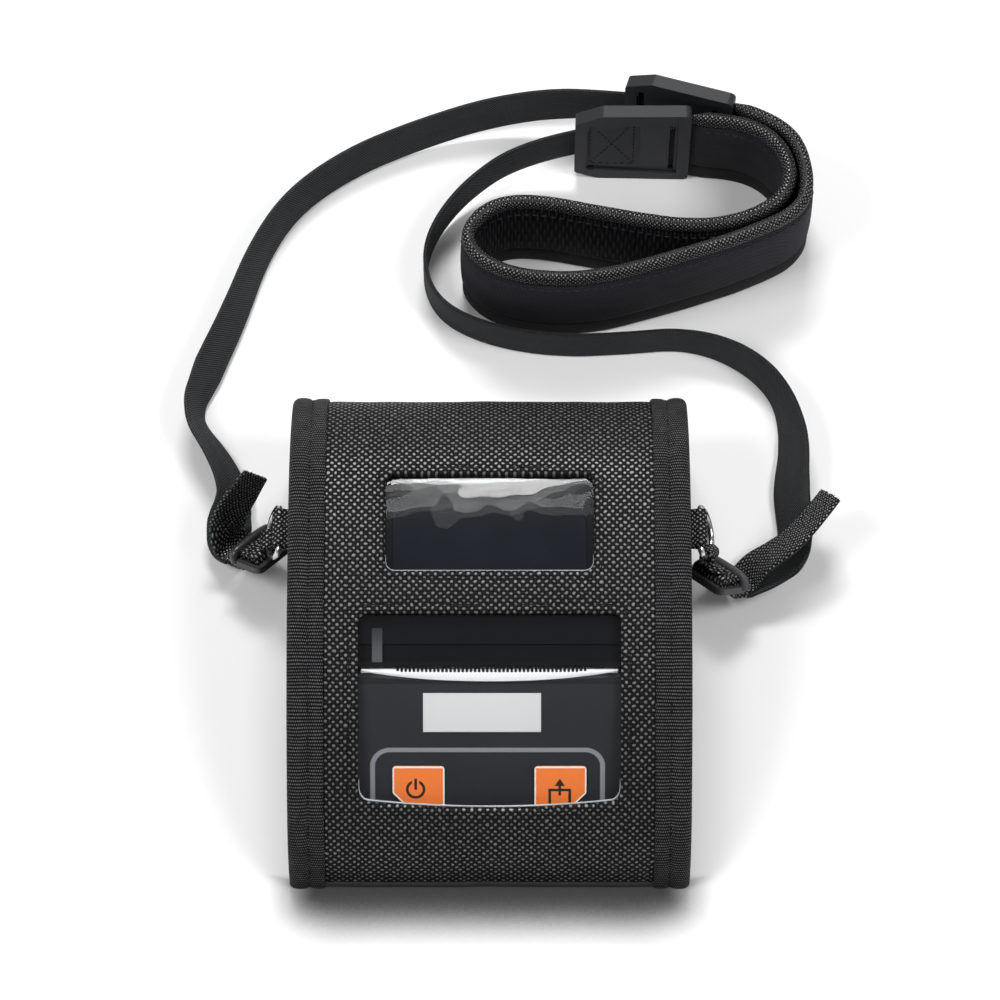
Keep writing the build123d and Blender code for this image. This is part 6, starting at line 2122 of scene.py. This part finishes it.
        mesh = Mesh("fitting_patch")
        mesh.layers(columns, rows, spot)
        piece = mesh.build([self.finishes.patch])
        place_piece(piece, "case", "pad_fabric", (), 60)
        box = [(0.1, 0.07), (0.9, 0.07), (0.9, 0.93), (0.1, 0.93), (0.1, 0.07)]
        lines = []
        for start, end in list(zip(box, box[1:])) + [((0.1, 0.07), (0.9, 0.93)), ((0.9, 0.07), (0.1, 0.93))]:
            row = []
            for k in range(20):
                u = start[0] + (end[0] - start[0]) * k / 19
                v = start[1] + (end[1] - start[1]) * k / 19
                row.append((on_patch(u, v, 0.52), out))
            lines.append(row)
        seam = Seam("patch_stitches", pitch=2.2, length=1.6, radius=0.22).build(lines, self.finishes.thread)
        place_piece(seam, "case", "pad_fabric")


# Studio


@dataclass(frozen=True)
class Lamp:
    """A soft rectangular lamp: its place, what it points at, its size in metres and its power in watts."""

    name: str
    place: Point
    target: Point
    size: Plan
    power: float

    def hang(self) -> None:
        """Put the lamp in the scene."""
        data = bpy.data.lights.new(self.name, "AREA")
        data.shape = "RECTANGLE"
        data.size, data.size_y = self.size
        data.energy = self.power
        lamp = bpy.data.objects.new(self.name, data)
        lamp.location = self.place
        lamp.rotation_euler = (Vector(self.target) - Vector(self.place)).to_track_quat("-Z", "Y").to_euler()
        bpy.context.scene.collection.objects.link(lamp)


CASE_MIDDLE = (0.0, 0.04, 0.06)
ORIGIN = (0.0, 0.0, 0.0)
LAMPS = (
    Lamp("back_bright", (-0.04, 0.818, 1.038), CASE_MIDDLE, (0.44, 0.24), 10.0),
    Lamp("back_middle", (-0.04, 0.674, 1.137), CASE_MIDDLE, (0.6, 0.096), 1.05),
    Lamp("back_edge", (-0.03, 0.602, 1.177), CASE_MIDDLE, (0.6, 0.085), 0.25),
    Lamp("left_top", (-0.7, -0.12, 1.02), ORIGIN, (0.42, 0.42), 7.2),
    Lamp("right_top", (0.7, -0.12, 1.02), ORIGIN, (0.42, 0.42), 7.2),
)


@dataclass
class Studio:
    """Pale floor, soft lamps and the camera, in metres.

    The floor's colour holds a painted shadow where the near foot stands close over it: within
    shade_reach, between the two amounts of shade_open, in front of shade_back and inside shade_sides.
    """

    floor_half: float = 6.0
    white: float = 0.8
    lift: float = 0.03
    shade: float = 0.03
    shade_reach: float = 0.024
    shade_lean: Point = (0.0, 0.9, 0.436)
    shade_samples: int = 24
    shade_open: Plan = (0.5, 0.98)
    shade_back: Plan = (-0.077, -0.072)
    shade_sides: Plan = (0.054, 0.072)
    zenith: float = 0.14
    horizon: float = 0.7
    overhead: float = 0.6
    eye: Point = (0.0032568, -0.576697, 1.359462)
    eye_down: float = 65.0
    lens: float = 165.71

    def build(self) -> None:
        """Set the scene round the object."""
        scene = bpy.context.scene
        scene.view_settings.view_transform = "Standard"
        self._floor()
        self._world(scene)
        for lamp in LAMPS:
            lamp.hang()
        self._camera(scene)

    def _floor(self) -> None:
        """White floor that keeps the object's shadow, with a painted shadow in its colour in front of the
        near foot.
        """
        shader = Shader("studio_floor")
        lean = shader.combine(*self.shade_lean)
        settings = {"samples": self.shade_samples}
        sockets = {"Distance": self.shade_reach, "Normal": lean}
        # Painted shadow: an ambient occlusion term, leaning back towards the case, darkens the floor's colour
        # in front of the near foot.
        near = shader.node("ShaderNodeAmbientOcclusion", settings, sockets, "AO")
        x, y, _ = shader.axes(shader.place())
        beside = abs(x).step(*self.shade_sides)
        behind = y.step(*self.shade_back)
        outside_painted_shadow = near.step(*self.shade_open).most(behind).most(beside)
        tone = shader.mix(outside_painted_shadow, (self.white * self.shade,) * 3, (self.white,) * 3)
        shader.set(Base_Color=tone, Roughness=0.9, Specular_IOR_Level=0.1)
        seen, glossy, through = (
            shader.node("ShaderNodeLightPath", {}, {}, f"Is {kind} Ray")
            for kind in ("Camera", "Glossy", "Transmission")
        )
        strength = (seen + glossy + through) * self.lift
        glow = shader.node("ShaderNodeEmission", {}, {"Color": (1, 1, 1, 1), "Strength": strength})
        both = shader.tree.nodes.new("ShaderNodeAddShader")
        shader.tree.links.new(shader.surface.outputs[0], both.inputs[0])
        shader.tree.links.new(glow.socket, both.inputs[1])
        shader.tree.links.new(both.outputs[0], shader.output.inputs["Surface"])
        half = self.floor_half
        data = bpy.data.meshes.new("studio_floor")
        corners = [(-half, -half, 0), (half, -half, 0), (half, half, 0), (-half, half, 0)]
        data.from_pydata(corners, [], [(0, 1, 2, 3)])
        data.materials.append(shader.material)
        floor = bpy.data.objects.new("studio_floor", data)
        bpy.context.scene.collection.objects.link(floor)

    def _world(self, scene: Scene) -> None:
        """Pale air at the horizon, dim overhead."""
        world = bpy.data.worlds.new("studio_air")
        world.use_nodes = True
        tree = world.node_tree
        place = tree.nodes.new("ShaderNodeTexCoord")
        split = tree.nodes.new("ShaderNodeSeparateXYZ")
        fade = tree.nodes.new("ShaderNodeMapRange")
        fade.interpolation_type = "SMOOTHSTEP"
        fade.inputs["From Max"].default_value = self.overhead
        fade.inputs["To Min"].default_value = self.horizon
        fade.inputs["To Max"].default_value = self.zenith
        tree.links.new(place.outputs["Generated"], split.inputs[0])
        tree.links.new(split.outputs["Z"], fade.inputs["Value"])
        tree.links.new(fade.outputs[0], tree.nodes["Background"].inputs["Strength"])
        tree.nodes["Background"].inputs["Color"].default_value = (1, 1, 1, 1)
        scene.world = world

    def _camera(self, scene: Scene) -> None:
        """The photograph's view, steeply down through a long lens."""
        data = bpy.data.cameras.new("view")
        data.sensor_fit = "HORIZONTAL"
        data.sensor_width = 36.0
        data.lens = self.lens
        camera = bpy.data.objects.new("view", data)
        camera.location = self.eye
        camera.rotation_euler = (math.radians(90.0 - self.eye_down), 0, 0)
        scene.collection.objects.link(camera)
        scene.camera = camera


def main() -> None:
    """Build the pieces in order."""
    logging.basicConfig(level=logging.INFO, format="%(name)s: %(message)s")
    finishes = Finishes()
    Studio().build()
    Strap(finishes).build()
    printer = Printer(finishes)
    printer.dress()
    printer.slip()
    printer.tear_teeth()
    Flap(finishes).build()
    CaseBody(finishes).build()
    RingTabs(finishes).build()


if __name__ == "__main__":
    main()
